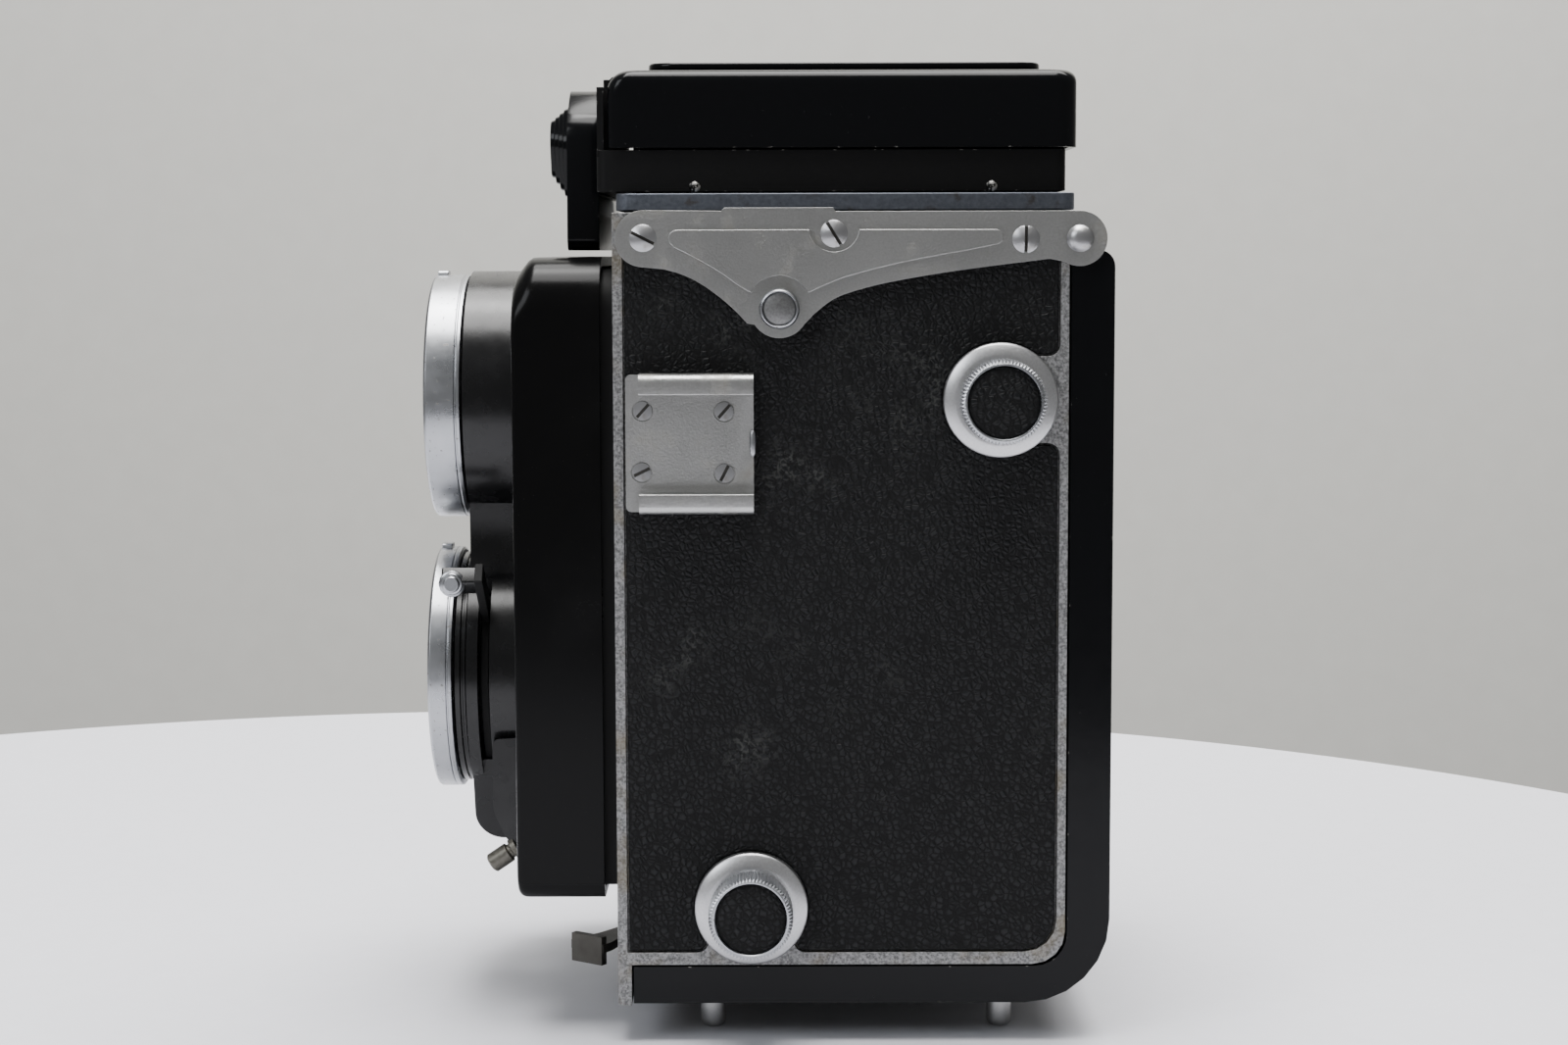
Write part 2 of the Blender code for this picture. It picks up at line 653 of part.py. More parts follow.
def make_winding():
    """Take-up spool with its driving key, and the folding crank on the left."""
    spool_hub = hub("take_up_hub", (0, *LOWER_SPOOL), ORIGIN)
    bore = PIN_RADIUS + RUN
    end = SPOOL_HALF
    inner = SPOOL_HALF - SPOOL_RIM
    spool = [(bore, end), (SPOOL_RADIUS, end), (SPOOL_RADIUS, inner), (SPOOL_CORE, inner),
             (SPOOL_CORE, -inner), (SPOOL_RADIUS, -inner), (SPOOL_RADIUS, -end), (bore, -end)]
    turned("take_up_spool", (0, *LOWER_SPOOL), "X", spool, "plastic", 24, parent=spool_hub)
    key = CHAMBER_HALF - SPOOL_HALF + PIN_BITE + KEY_LENGTH - THROUGH
    rod("take_up_key", (PIN_BITE - SPOOL_HALF, *LOWER_SPOOL), "-X", PIN_RADIUS, key, "steel", sides=12,
        parent=spool_hub)
    face = BODY_HALF + GAP
    collar = [(CRANK_SHAFT + RUN, COLLAR_THICK), (COLLAR_RADIUS - 1.0, COLLAR_THICK),
              (COLLAR_RADIUS, COLLAR_THICK * 0.6), (COLLAR_RADIUS, 0), (CRANK_SHAFT + RUN, 0)]
    turned("crank_collar", (-face, *CRANK), "-X", collar, "chrome", 28)
    crank_hub = hub("crank_hub", (-face, *CRANK), ORIGIN)
    start = face + CRANK_STAND
    thick = CRANK_THICK
    arm = plate("crank_arm", "X", crank_outline(), -start - thick, -start, "chrome", parent=crank_hub)
    shaft = rod("crank_shaft", (-start - thick / 2, *CRANK), "X", CRANK_SHAFT,
                start + thick / 2 - BODY_HALF + CRANK_SOCKET - GAP, sides=16, parent=crank_hub)
    join(arm, shaft)
    grip_at = (-start - thick - GAP, CRANK[0], CRANK[1] - CRANK_REACH)
    grip_hub = hub("crank_grip_hub", grip_at, crank_hub)
    length = CRANK_OUT + BODY_HALF - start - thick - GAP
    grip = [(0, length), (2.6, length), (3.6, length - 0.8), (4.1, length * 0.45), (3.2, 0.6), (2.6, 0),
            (0, 0)]
    turned("crank_grip", grip_at, "-X", grip, "chrome", 20, parent=grip_hub)


def crank_outline():
    """An arm with a big round end on the shaft and a small one under the grip."""
    low = (CRANK[0], CRANK[1] - CRANK_REACH)
    return arc(CRANK, CRANK_BIG_END, -30, 210, 12) + arc(low, CRANK_SMALL_END, 190, 350, 8)


# ---------------------------------------------------------------- focusing lever

def make_focus_lever():
    """A lever under the lens board that turns about a screw and drives the focus."""
    pivot = hub("focus_hub", (0, FOCUS_PIVOT_Y, FOCUS_LOW), ORIGIN)
    ahead = -math.pi / 2 + FOCUS_ANGLE
    along = Vector((math.cos(ahead), math.sin(ahead)))
    across = Vector((-along.y, along.x))
    middle = Vector((0, FOCUS_PIVOT_Y))

    def at(distance, offset):
        return tuple(middle + along * distance + across * offset)

    root = math.degrees(ahead)
    outline = arc(tuple(middle), FOCUS_HUB, root + 50, root + 310, 10)
    outline += [at(FOCUS_REACH - 8, -2.2), at(FOCUS_REACH - 5, -4.6), at(FOCUS_REACH, -4.2),
                at(FOCUS_REACH, 4.2), at(FOCUS_REACH - 5, 4.6), at(FOCUS_REACH - 8, 2.2)]
    low = FOCUS_LOW + 0.8
    lever = plate("focus_lever", "Z", outline, low, low + FOCUS_THICK, "nickel",
                  holes=[circle(tuple(middle), FOCUS_SCREW + RUN, 12)], parent=pivot)
    inner = FOCUS_REACH - 1.2
    tip = plate("focus_tip", "Z", [at(inner, -4.2), at(FOCUS_REACH, -4.2), at(FOCUS_REACH, 4.2),
                                   at(inner, 4.2)], FOCUS_LOW - 1.4, FOCUS_LOW + 3.4, parent=pivot)
    join(lever, tip)
    screw = [(0, 3.6), (FOCUS_SCREW, 3.6), (FOCUS_SCREW, 0.5), (2.4, 0.5), (2.4, 0), (0, 0)]
    turned("focus_pivot_screw", (0, FOCUS_PIVOT_Y, FOCUS_LOW - 0.1), "Z", screw, "steel", 12)


# ---------------------------------------------------------------- front standard

def board_outline(inset):
    half = BOARD_HALF - inset
    low = BOARD_BOTTOM + inset
    high = BOARD_TOP - inset
    return rounded([(-half, low, 3.0 - min(inset, 2.0)), (half, low, 3.0 - min(inset, 2.0)),
                    (half, high, BOARD_CORNER - inset), (-half, high, BOARD_CORNER - inset)])


def make_board(slide):
    board = plate("lens_board", "Y", board_outline(0), BOARD_FRONT, BOARD_REAR, "enamel", parent=slide)
    inside = plate("board_inside", "Y", board_outline(BOARD_WALL), BOARD_FRONT + BOARD_WALL,
                   BOARD_REAR + THROUGH, parent=slide)
    cut(board, inside)
    for name, height in (("viewing", VIEWING_Z), ("taking", TAKING_Z)):
        cut(board, rod(name + "_board_hole", (0, BOARD_FRONT + BOARD_WALL + THROUGH, height), "Y",
                       TUBE_RADIUS + GAP, BOARD_WALL + 2 * THROUGH, sides=28, parent=slide))
    cut(board, rod("button_hole", (BUTTON[0], BOARD_FRONT + BOARD_WALL + THROUGH, BUTTON[1]), "Y",
                   BUTTON_RADIUS + RUN, BOARD_WALL + 2 * THROUGH, sides=16, parent=slide))
    margin = BOARD_WALL + RUN
    plate("front_light_frame", "Y", board_outline(margin), BOARD_REAR - FOCUS_TRAVEL - LIGHT_FRAME_LAP,
          -GAP, "enamel", holes=[board_outline(margin + LIGHT_FRAME_WALL)])


def housing_outline():
    """Two round lobes with a waist between them and a tapered foot below."""
    waist = 55
    foot = TAKING_Z - HOUSING_RADIUS - HOUSING_FOOT
    points = arc((0, VIEWING_Z), HOUSING_RADIUS, -waist, 180 + waist, 20)
    points += arc((0, TAKING_Z), HOUSING_RADIUS, 180 - waist, 235, 8)
    points += [(-8.0, foot), (8.0, foot)]
    points += arc((0, TAKING_Z), HOUSING_RADIUS, -55, waist, 8)
    return points


def make_housing(slide):
    housing = plate("lens_housing", "Y", housing_outline(), HOUSING_FRONT, HOUSING_REAR, "enamel",
                    parent=slide)
    depth = HOUSING_REAR - HOUSING_FRONT + 2 * THROUGH
    for name, height in (("viewing", VIEWING_Z), ("taking", TAKING_Z)):
        cut(housing, rod(name + "_bore", (0, HOUSING_REAR + THROUGH, height), "Y", TUBE_RADIUS + GAP, depth,
                         sides=28, parent=slide))
    cut(housing, rod("lever_race", (0, RACE_REAR, TAKING_Z), "Y", RACE_RADIUS, RACE_REAR - RACE_FRONT,
                     sides=28, parent=slide))
    for side, sign in SIDES:
        low, high = on_side(sign, WINDOW_INNER, HOUSING_RADIUS + 2)
        cut(housing, block(side + "_lever_window", (low, RACE_FRONT + 0.2, TAKING_Z - WINDOW_BELOW),
                           (high, RACE_REAR - 0.2, TAKING_Z + WINDOW_ABOVE), parent=slide))


def make_lens(name, height, slide):
    """A turned ring like a cup with its glass seated inside.

    The viewing lens's ring is one piece with its tube.  The taking lens's ring
    screws on to the shutter's case, which carries the rear element too.
    """
    back = HOUSING_FRONT - GAP
    deep = back - RING_FRONT
    seat = GLASS_RADIUS + GAP
    neck = RING_RADIUS - RING_SHOULDER
    ring = [(seat, deep - 3.4), (RING_RADIUS - 2.6, deep), (RING_RADIUS - 0.4, deep),
            (RING_RADIUS, deep - 0.4), (RING_RADIUS, 1.6), (neck, 1.0), (neck, 0)]
    if name == "viewing":
        tail = back - TUBE_REAR
        ring += [(TUBE_RADIUS, 0), (TUBE_RADIUS, tail), (seat + 0.7, tail), (seat + 0.7, -GAP), (seat, -GAP)]
    else:
        ring += [(seat, 0)]
    turned(name + "_lens_ring", (0, back, height), "Y", ring, "chrome", 40, parent=slide)
    glass = [(0, 3.0), (5.0, 2.7), (9.0, 1.9), (GLASS_RADIUS, 0.8), (GLASS_RADIUS, 0), (0, 0)]
    turned(name + "_lens_glass", (0, back, height), "Y", glass, "glass", 24, parent=slide)


def make_shutter(slide):
    """The shutter's case behind the taking lens, with the rear element in its bore."""
    bore = REAR_BORE
    long = TUBE_REAR - HOUSING_FRONT
    tube = [(bore, long - 0.2), (TUBE_RADIUS, long - 0.2), (TUBE_RADIUS, 0), (bore, 0)]
    turned("shutter_case", (0, TUBE_REAR, TAKING_Z), "Y", tube, "enamel", 28, parent=slide)
    rear = [(0, 2.4), (bore - GAP, 2.0), (bore - GAP, 0.4), (0, 0)]
    turned("rear_lens_element", (0, TUBE_REAR - 1.0, TAKING_Z), "Y", rear, "glass", 20, parent=slide)


def make_shutter_lever(name, sign, front, slide):
    """A ring round the shutter with an arm through the housing and a round knob."""
    centre = (0, TAKING_Z)
    turn = hub(name + "_hub", (0, front, TAKING_Z), slide)
    inner = TUBE_RADIUS + RUN
    outer = RACE_RADIUS - 0.5
    rear = front + LEVER_THICK
    along = Vector((sign * math.cos(LEVER_ANGLE), math.sin(LEVER_ANGLE)))
    across = Vector((-along.y, along.x))
    middle = Vector(centre)

    def at(distance, offset):
        return tuple(middle + along * distance + across * offset)

    lean = math.degrees(math.atan2(along.y, along.x))
    half = math.degrees(math.asin(LEVER_ARM / outer))
    outline = arc(centre, outer, lean + half, lean + 360 - half, 36)
    outline += [at(LEVER_REACH + 1, -LEVER_ARM), at(LEVER_REACH + 1, LEVER_ARM)]
    lever = plate(name, "Y", outline, front, rear, "chrome", holes=[circle(centre, inner, 28)], parent=turn)
    thin = LEVER_ARM - 0.2
    post = [at(LEVER_REACH - 3, -thin), at(LEVER_REACH, -thin), at(LEVER_REACH, thin),
            at(LEVER_REACH - 3, thin)]
    join(lever, plate(name + "_post", "Y", post, LEVER_KNOB_Y - 1.8, front + 0.5, parent=turn))
    spot = at(LEVER_REACH - 2, 0)
    outward = "X" if sign > 0 else "-X"
    join(lever, rod(name + "_knob", (spot[0], LEVER_KNOB_Y, spot[1]), outward, LEVER_KNOB_RADIUS,
                    LEVER_KNOB_LENGTH, sides=16, parent=turn))


def make_front_standard():
    slide = hub("front_standard_hub", (0, 0, TAKING_Z), ORIGIN)
    make_board(slide)
    make_housing(slide)
    make_lens("viewing", VIEWING_Z, slide)
    make_lens("taking", TAKING_Z, slide)
    make_shutter(slide)
    make_shutter_lever("speed_lever", 1, SPEED_LEVER_FRONT, slide)
    make_shutter_lever("aperture_lever", -1, APERTURE_LEVER_FRONT, slide)
    press = hub("release_hub", (BUTTON[0], BOARD_FRONT, BUTTON[1]), slide)
    stem = [(0, 7.0), (2.4, 6.9), (BUTTON_RADIUS, 6.2), (BUTTON_RADIUS, -4.0), (0, -4.0)]
    turned("release_button", (BUTTON[0], BOARD_FRONT, BUTTON[1]), "Y", stem, "chrome", 16, parent=press)
    terminal = [(0, 4.6), (1.2, 4.6), (1.6, 4.2), (1.6, 1.2), (2.3, 1.0), (2.3, 0), (0, 0)]
    turned("flash_terminal", (TERMINAL[0], BOARD_FRONT - GAP, TERMINAL[1]), "Y", terminal, "brass", 16,
           parent=slide)


# ---------------------------------------------------------------- door

def door_outline(wall, back, inner):
    """Section of the door: a floor, a back and the rounded corner between them."""
    return rounded([(SKIRT_DEPTH + GAP - (inner and THROUGH), DOOR_BOTTOM + wall, 0),
                    (DOOR_REAR - back, DOOR_BOTTOM + wall, DOOR_CORNER - wall),
                    (DOOR_REAR - back, DOOR_TOP - wall, 0 if inner else 2.5),
                    (BODY_DEPTH + GAP - inner, DOOR_TOP - wall, 0),
                    (BODY_DEPTH + GAP - inner, BODY_BOTTOM - GAP + inner, REAR_CORNER),
                    (SKIRT_DEPTH + GAP - (inner and THROUGH), BODY_BOTTOM - GAP + inner, 0)], steps=6)


def make_door():
    """The back and bottom of the body in one pressing, hinged at the top."""
    swing = hub("door_hub", (0, *HINGE), ORIGIN)
    half = LEATHER_FACE
    door = plate("back_door", "X", door_outline(0, 0, 0), -half, half, "enamel", parent=swing)
    cut(door, plate("door_inside", "X", door_outline(DOOR_WALL, DOOR_BACK_WALL, DOOR_LIP),
                    -half + DOOR_WALL, half - DOOR_WALL, parent=swing))
    low = DOOR_BOTTOM + DOOR_CORNER + 3
    high = DOOR_TOP - 4
    cut(door, block("back_recess", (-BACK_LEATHER_HALF, DOOR_REAR - BACK_LEATHER_DEPTH, low),
                    (BACK_LEATHER_HALF, DOOR_REAR + THROUGH, high), parent=swing))
    for side, sign in SIDES:
        first, last = on_side(sign, EAR_INNER, EAR_OUTER)
        y, z = HINGE
        ear = rounded([(y, z + EAR_RADIUS, 0), (y - EAR_RADIUS, z + EAR_RADIUS, EAR_RADIUS - 0.1),
                       (y - EAR_RADIUS + 0.4, DOOR_TOP - 0.3, 0), (DOOR_REAR - 3.0, DOOR_TOP - 0.3, 0),
                       (y + EAR_RADIUS, z, 0), (y + EAR_RADIUS * 0.7, z + EAR_RADIUS * 0.7, 0)])
        join(door, plate(side + "_ear", "X", ear, first, last, parent=swing))
        cut(door, rod(side + "_ear_hole", (first - THROUGH, *HINGE), "X", HINGE_PIN_RADIUS + RUN,
                      last - first + 2 * THROUGH, sides=12, parent=swing))
    block("back_leatherette",
          (-BACK_LEATHER_HALF + GAP, DOOR_REAR - BACK_LEATHER_DEPTH + GAP, low + GAP),
          (BACK_LEATHER_HALF - GAP, DOOR_REAR, high - GAP), "leatherette", parent=swing)
    make_pressure_plate(swing)
    make_feet(swing)
    make_latch(swing)


def make_pressure_plate(swing):
    """A flat plate that holds the film to the gate, with a spring's cup behind it."""
    start = BODY_DEPTH + 0.5
    pad = block("pressure_plate", (-PRESSURE_HALF, start, TAKING_Z - PRESSURE_HALF),
                (PRESSURE_HALF, start + PRESSURE_THICK, TAKING_Z + PRESSURE_HALF), "enamel", parent=swing)
    rear = DOOR_REAR - DOOR_BACK_WALL - GAP
    join(pad, rod("plate_spring", (0, rear, TAKING_Z), "Y", 6.0, rear - start - PRESSURE_THICK / 2,
                  sides=16, parent=swing))


def make_feet(swing):
    """Four small turned feet riveted to the door's floor."""
    height = DOOR_BOTTOM - GAP
    foot = [(0, height), (2.9, height), (2.9, height - 1.0), (FOOT_RADIUS, height - 1.6),
            (FOOT_RADIUS, 0.5), (FOOT_RADIUS - 0.4, 0), (0, 0)]
    for side, sign in SIDES:
        for end, y in zip(("front", "rear"), FEET_Y):
            turned(side + "_" + end + "_foot", (sign * FEET_X, y, 0), "Z", foot, "nickel", 16, parent=swing)


def make_latch(swing):
    """Tripod socket, the ring round it that unlocks the door, and the ring's bolt."""
    high = DOOR_BOTTOM - GAP - SOCKET_LOW
    socket = [(THREAD_RADIUS, high), (SOCKET_RADIUS, high), (SOCKET_RADIUS, 0), (THREAD_RADIUS, 0)]
    turned("tripod_socket", (0, SOCKET_Y, SOCKET_LOW), "Z", socket, "chrome", 28, parent=swing)
    turn = hub("latch_hub", (0, SOCKET_Y, SOCKET_LOW), swing)
    inner = SOCKET_RADIUS + RUN
    low = SOCKET_LOW + 0.8
    tall = DOOR_BOTTOM - GAP - low
    ring = [(inner, tall), (LATCH_RADIUS, tall), (LATCH_RADIUS, 0.5), (LATCH_RADIUS - 0.5, 0), (inner, 0)]
    ring_piece = turned("latch_ring", (0, SOCKET_Y, low), "Z", ring, "chrome", 28, parent=turn)
    join(ring_piece, block("latch_tab", (LATCH_RADIUS - 1.5, SOCKET_Y - 1.5, low + 0.2),
                           (LATCH_RADIUS + LATCH_TAB, SOCKET_Y + 1.5, low + tall - 0.2), parent=turn))
    slide = hub("bolt_hub", (0, SOCKET_Y, DOOR_BOTTOM + DOOR_WALL), swing)
    low = DOOR_BOTTOM + DOOR_WALL + GAP
    block("latch_bolt", (-BOLT_HALF, FOCUS_PIVOT_Y + 5.0, low),
          (BOLT_HALF, SOCKET_Y - 6.0, low + BOLT_THICK), "steel", parent=slide)


# ---------------------------------------------------------------- mirror, screen and hood

def make_mirror_and_screen():
    """A silvered glass at forty five degrees under a ground glass screen."""
    low = MIRROR_LOW
    high = MIRROR_Y + SCREEN_BOTTOM - GAP - VIEWING_Z - 1.0
    length = (high - low) * math.sqrt(2)
    narrow = MIRROR_NARROW
    wide = SCREEN_HALF - THROUGH - GAP
    outline = [(-narrow, -length / 2), (narrow, -length / 2), (wide, length / 2), (-wide, length / 2)]
    glass = plate("reflex_mirror", "Z", outline, -MIRROR_THICK / 2, MIRROR_THICK / 2, "mirror")
    glass.rotation_euler = (math.radians(45), 0, 0)
    middle = (low + high) / 2
    drop = MIRROR_THICK / 2 / math.sqrt(2)
    glass.location = Vector((0, middle + drop, mirror_line(middle) - drop)) * MM
    block("focusing_screen", (-SCREEN_HALF, SCREEN_FRONT, SCREEN_BOTTOM),
          (SCREEN_HALF, SCREEN_REAR, SCREEN_TOP), "glass")


def make_hood_base():
    """The steel plate under the hood, open over the screen."""
    half = SCREEN_HALF - 1.0
    front = SCREEN_FRONT + 0.5
    rear = SCREEN_REAR - 0.5
    opening = [(-half, front), (-half, rear), (half, rear), (half, front)]
    wide = HOOD_HALF + 0.6
    back = HOOD_REAR - 0.4
    base = rounded([(-wide, PLATE_FRONT, 2.0), (wide, PLATE_FRONT, 2.0), (wide, back, 2.0),
                    (-wide, back, 2.0)])
    plate("hood_base_plate", "Z", base, PLATE_BOTTOM, PLATE_BOTTOM + PLATE_HEIGHT, "steel", holes=[opening])


def make_hood_frame():
    """The hood's fixed frame, with a front wall that carries the barrel of the lid's hinge."""
    top = FRAME_BOTTOM + FRAME_HEIGHT
    outer = rounded([(-FRAME_HALF, FRAME_FRONT, 1.5), (FRAME_HALF, FRAME_FRONT, 1.5),
                     (FRAME_HALF, FRAME_REAR, 1.5), (-FRAME_HALF, FRAME_REAR, 1.5)])
    half = FRAME_HALF - FRAME_WALL
    rear = FRAME_REAR - FRAME_WALL
    inner = [(-half, HOOD_FRONT + 1.0), (half, HOOD_FRONT + 1.0), (half, rear), (-half, rear)]
    frame = plate("hood_frame", "Z", outer, FRAME_BOTTOM, top, "enamel", holes=[inner])
    wide = FRAME_HALF - 0.5
    join(frame, block("front_wall", (-wide, FRAME_FRONT + 0.1, top - 1.0),
                      (wide, HOOD_FRONT - 0.4, LID_HINGE[1] - 1.5)))
    join(frame, block("hinge_web", (-BARREL_HALF + 0.4, FRAME_FRONT + 0.3, LID_HINGE[1] - 2.3),
                      (BARREL_HALF - 0.4, LID_HINGE[0] - 0.2, LID_HINGE[1] + 0.4)))
    join(frame, rod("hinge_barrel", (-BARREL_HALF, *LID_HINGE), "X", BARREL_RADIUS, 2 * BARREL_HALF,
                    sides=12))
    catch = block("hood_catch", (-CATCH_HALF, FRAME_REAR + GAP, top - 3.4),
                  (CATCH_HALF, FRAME_REAR + 2.6, top - 0.4), "chrome")
    soften(catch, 0.6)


def soften(body, width):
    """Round a piece's edges."""
    step = body.modifiers.new("soften", "BEVEL")
    step.width = width * MM
    step.segments = 2


def make_lid():
    """The lid, a shallow pan open at the front, with the raised panel of the finder."""
    swing = hub("lid_hub", (0, *LID_HINGE), ORIGIN)
    profile = rounded([(HOOD_FRONT, LID_BOTTOM, 0), (HOOD_REAR, LID_BOTTOM, 0), (HOOD_REAR, LID_TOP, 1.8),
                       (HOOD_FRONT, LID_TOP, 0.8)])
    lid = plate("hood_lid", "X", profile, -HOOD_HALF, HOOD_HALF, "enamel", parent=swing)
    cut(lid, block("lid_inside", (-HOOD_HALF + HOOD_WALL, HOOD_FRONT - THROUGH, LID_BOTTOM - THROUGH),
                   (HOOD_HALF - HOOD_WALL, HOOD_REAR - HOOD_WALL, LID_TOP - HOOD_WALL), parent=swing))
    cut(lid, block("hinge_notch", (-BARREL_HALF - GAP, HOOD_FRONT - THROUGH, LID_HINGE[1] - 2),
                   (BARREL_HALF + GAP, LID_HINGE[0] + BARREL_RADIUS + GAP, LID_TOP + THROUGH), parent=swing))
    outline = rounded([(-FINDER_HALF, FINDER_FRONT, 4), (FINDER_HALF, FINDER_FRONT, 4),
                       (FINDER_HALF, FINDER_REAR, 4), (-FINDER_HALF, FINDER_REAR, 4)])
    panel = plate("finder_panel", "Z", outline, LID_TOP + GAP, LID_TOP + FINDER_RISE, "enamel",
                  parent=swing)
    soften(panel, 0.4)
    make_magnifier(swing)


def make_magnifier(swing):
    """A lens in a frame that hinges on the inside of the lid."""
    y = LID_HINGE[0] + MAGNIFIER_AT
    top = LID_TOP - HOOD_WALL - 1.0
    turn = hub("magnifier_hub", (0, y, top - MAGNIFIER_THICK / 2), swing)
    middle = (0, y + MAGNIFIER_LENGTH - MAGNIFIER_HALF - 1.5)
    outline = [(-8.0, y - 0.9), (8.0, y - 0.9)] + arc(middle, MAGNIFIER_HALF, -50, 230, 16)
    plate("magnifier_frame", "Z", outline, top - MAGNIFIER_THICK, top, "enamel",
          holes=[circle(middle, MAGNIFIER_GLASS + GAP, 24)], parent=turn)
    lens = [(0, 1.4), (6.0, 1.1), (MAGNIFIER_GLASS, 0.3), (MAGNIFIER_GLASS, -0.3), (6.0, -1.1), (0, -1.4)]
    turned("magnifier_lens", (*middle, top - MAGNIFIER_THICK / 2), "Z", lens, "glass", 24, parent=turn)


def make_hood_panels():
    """Two side panels and a rear panel that lie folded under the lid, mitred to clear it."""
    side_z = FRAME_BOTTOM + 1.2
    side_x = FRAME_HALF - FRAME_WALL - PANEL_INSET
    front = HOOD_FRONT + 3.0
    rear = FRAME_REAR - FRAME_WALL - PANEL_INSET
    for side, sign in SIDES:
        swing = hub(side + "_panel_hub", (sign * side_x, 0, side_z), ORIGIN)
        tip = side_x - PANEL_LENGTH
        outline = [(sign * side_x, front), (sign * side_x, rear - 1.0),
                   (sign * tip, rear - 1.0 - PANEL_LENGTH), (sign * tip, front + 0.24 * PANEL_LENGTH)]
        plate(side + "_hood_panel", "Z", outline, side_z - PANEL_THICKNESS / 2, side_z + PANEL_THICKNESS / 2,
              "enamel", parent=swing)
    rear_z = side_z + 1.6
    swing = hub("rear_panel_hub", (0, rear, rear_z), ORIGIN)
    wide = side_x - 1.0
    outline = [(-wide, rear), (wide, rear), (wide - PANEL_LENGTH, rear - PANEL_LENGTH),
               (PANEL_LENGTH - wide, rear - PANEL_LENGTH)]
    plate("rear_hood_panel", "Z", outline, rear_z - PANEL_THICKNESS / 2, rear_z + PANEL_THICKNESS / 2,
          "enamel", parent=swing)


# ---------------------------------------------------------------- nameplate

def make_nameplate():
    """The panel in front of the hood and a plain stepped crest on it."""
    low = BOARD_TOP + 1.0
    high = LID_TOP - 2.0
    wide = NAMEPLATE_HALF
    outline = rounded([(-wide, low, 2.0), (wide, low, 2.0), (wide - 1, high - 5, 5.0), (wide - 9, high, 6.0),
                       (9 - wide, high, 6.0), (1 - wide, high - 5, 5.0)])
    nameplate = plate("front_nameplate", "Y", outline, NAMEPLATE_FRONT, FRAME_FRONT - GAP, "enamel")
    soften(nameplate, 0.8)
    middle = (low + high) / 2 + 1.0
    badge = None
    start = NAMEPLATE_FRONT - GAP
    for i, (half, tall, front) in enumerate(BADGE_STEPS):
        crest = crest_outline(half, tall, middle)
        if i == 0:
            badge = plate("front_badge", "Y", crest, front, start, "chrome")
        else:
            join(badge, plate("badge_step_%d" % i, "Y", crest, front, start))
        start = front + 0.5


def crest_outline(half, tall, middle):
    """One step of the crest, widest above its middle."""
    shoulder = middle + tall * 0.5
    return rounded([(-half * 0.75, middle - tall, 1.0), (half * 0.75, middle - tall, 1.0),
                    (half, shoulder, 2.0), (half * 0.7, middle + tall, 1.5),
                    (-half * 0.7, middle + tall, 1.5), (-half, shoulder, 2.0)])


make_casting()
make_leatherette()
make_brackets()
make_shoe()
make_spool_knob("upper", UPPER_SPOOL)
make_spool_knob("lower", LOWER_SPOOL)
make_winding()
make_focus_lever()
make_front_standard()
make_door()
make_mirror_and_screen()
make_hood_base()
make_hood_frame()
make_lid()
make_hood_panels()
make_nameplate()
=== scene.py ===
import json
import math

import bmesh
import bpy
from mathutils import Matrix, Vector

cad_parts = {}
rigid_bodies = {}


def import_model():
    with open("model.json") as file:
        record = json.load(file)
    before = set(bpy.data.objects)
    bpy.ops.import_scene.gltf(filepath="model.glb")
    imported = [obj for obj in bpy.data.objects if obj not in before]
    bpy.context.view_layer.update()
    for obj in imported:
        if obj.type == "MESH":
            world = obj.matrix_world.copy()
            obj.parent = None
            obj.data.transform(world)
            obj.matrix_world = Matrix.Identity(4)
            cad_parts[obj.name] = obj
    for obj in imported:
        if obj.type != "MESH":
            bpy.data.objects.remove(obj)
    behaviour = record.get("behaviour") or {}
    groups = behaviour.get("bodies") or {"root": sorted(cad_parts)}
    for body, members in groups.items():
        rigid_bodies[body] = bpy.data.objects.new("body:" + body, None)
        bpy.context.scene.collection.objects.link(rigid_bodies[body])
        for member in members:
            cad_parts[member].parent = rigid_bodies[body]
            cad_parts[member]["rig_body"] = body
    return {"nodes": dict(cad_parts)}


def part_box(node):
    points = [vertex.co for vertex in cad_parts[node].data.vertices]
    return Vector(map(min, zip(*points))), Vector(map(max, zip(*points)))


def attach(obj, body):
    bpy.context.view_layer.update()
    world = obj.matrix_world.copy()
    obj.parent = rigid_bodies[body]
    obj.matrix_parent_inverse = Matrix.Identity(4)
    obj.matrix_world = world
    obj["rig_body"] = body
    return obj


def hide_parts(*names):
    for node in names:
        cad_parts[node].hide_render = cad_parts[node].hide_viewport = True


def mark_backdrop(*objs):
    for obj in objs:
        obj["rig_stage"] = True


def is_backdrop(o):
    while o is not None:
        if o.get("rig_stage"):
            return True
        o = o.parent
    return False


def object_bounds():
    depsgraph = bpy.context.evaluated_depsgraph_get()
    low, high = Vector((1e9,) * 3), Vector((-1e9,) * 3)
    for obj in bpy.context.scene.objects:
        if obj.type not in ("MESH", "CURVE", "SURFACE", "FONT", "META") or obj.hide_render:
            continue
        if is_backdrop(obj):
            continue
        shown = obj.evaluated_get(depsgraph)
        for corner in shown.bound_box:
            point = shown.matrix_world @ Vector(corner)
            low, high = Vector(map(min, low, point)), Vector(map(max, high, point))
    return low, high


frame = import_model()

cad_low, cad_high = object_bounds()


# ---------------------------------------------------------------- body casting
# One light alloy die casting holds everything.  Only its edges show: a border
# round each side, the webs to the two spool bosses and the skirt under the front,
# all in a mottled silver paint that has yellowed where dirt has settled.  Behind
# the door its film chamber is dull black.

MM = 0.001
casting_low, casting_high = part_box("body_casting")
MIDDLE = (casting_low.x + casting_high.x) / 2
FRONT = casting_low.y
SIDE = (casting_high.x - casting_low.x) / 2 / MM
TOP = casting_high.z / MM


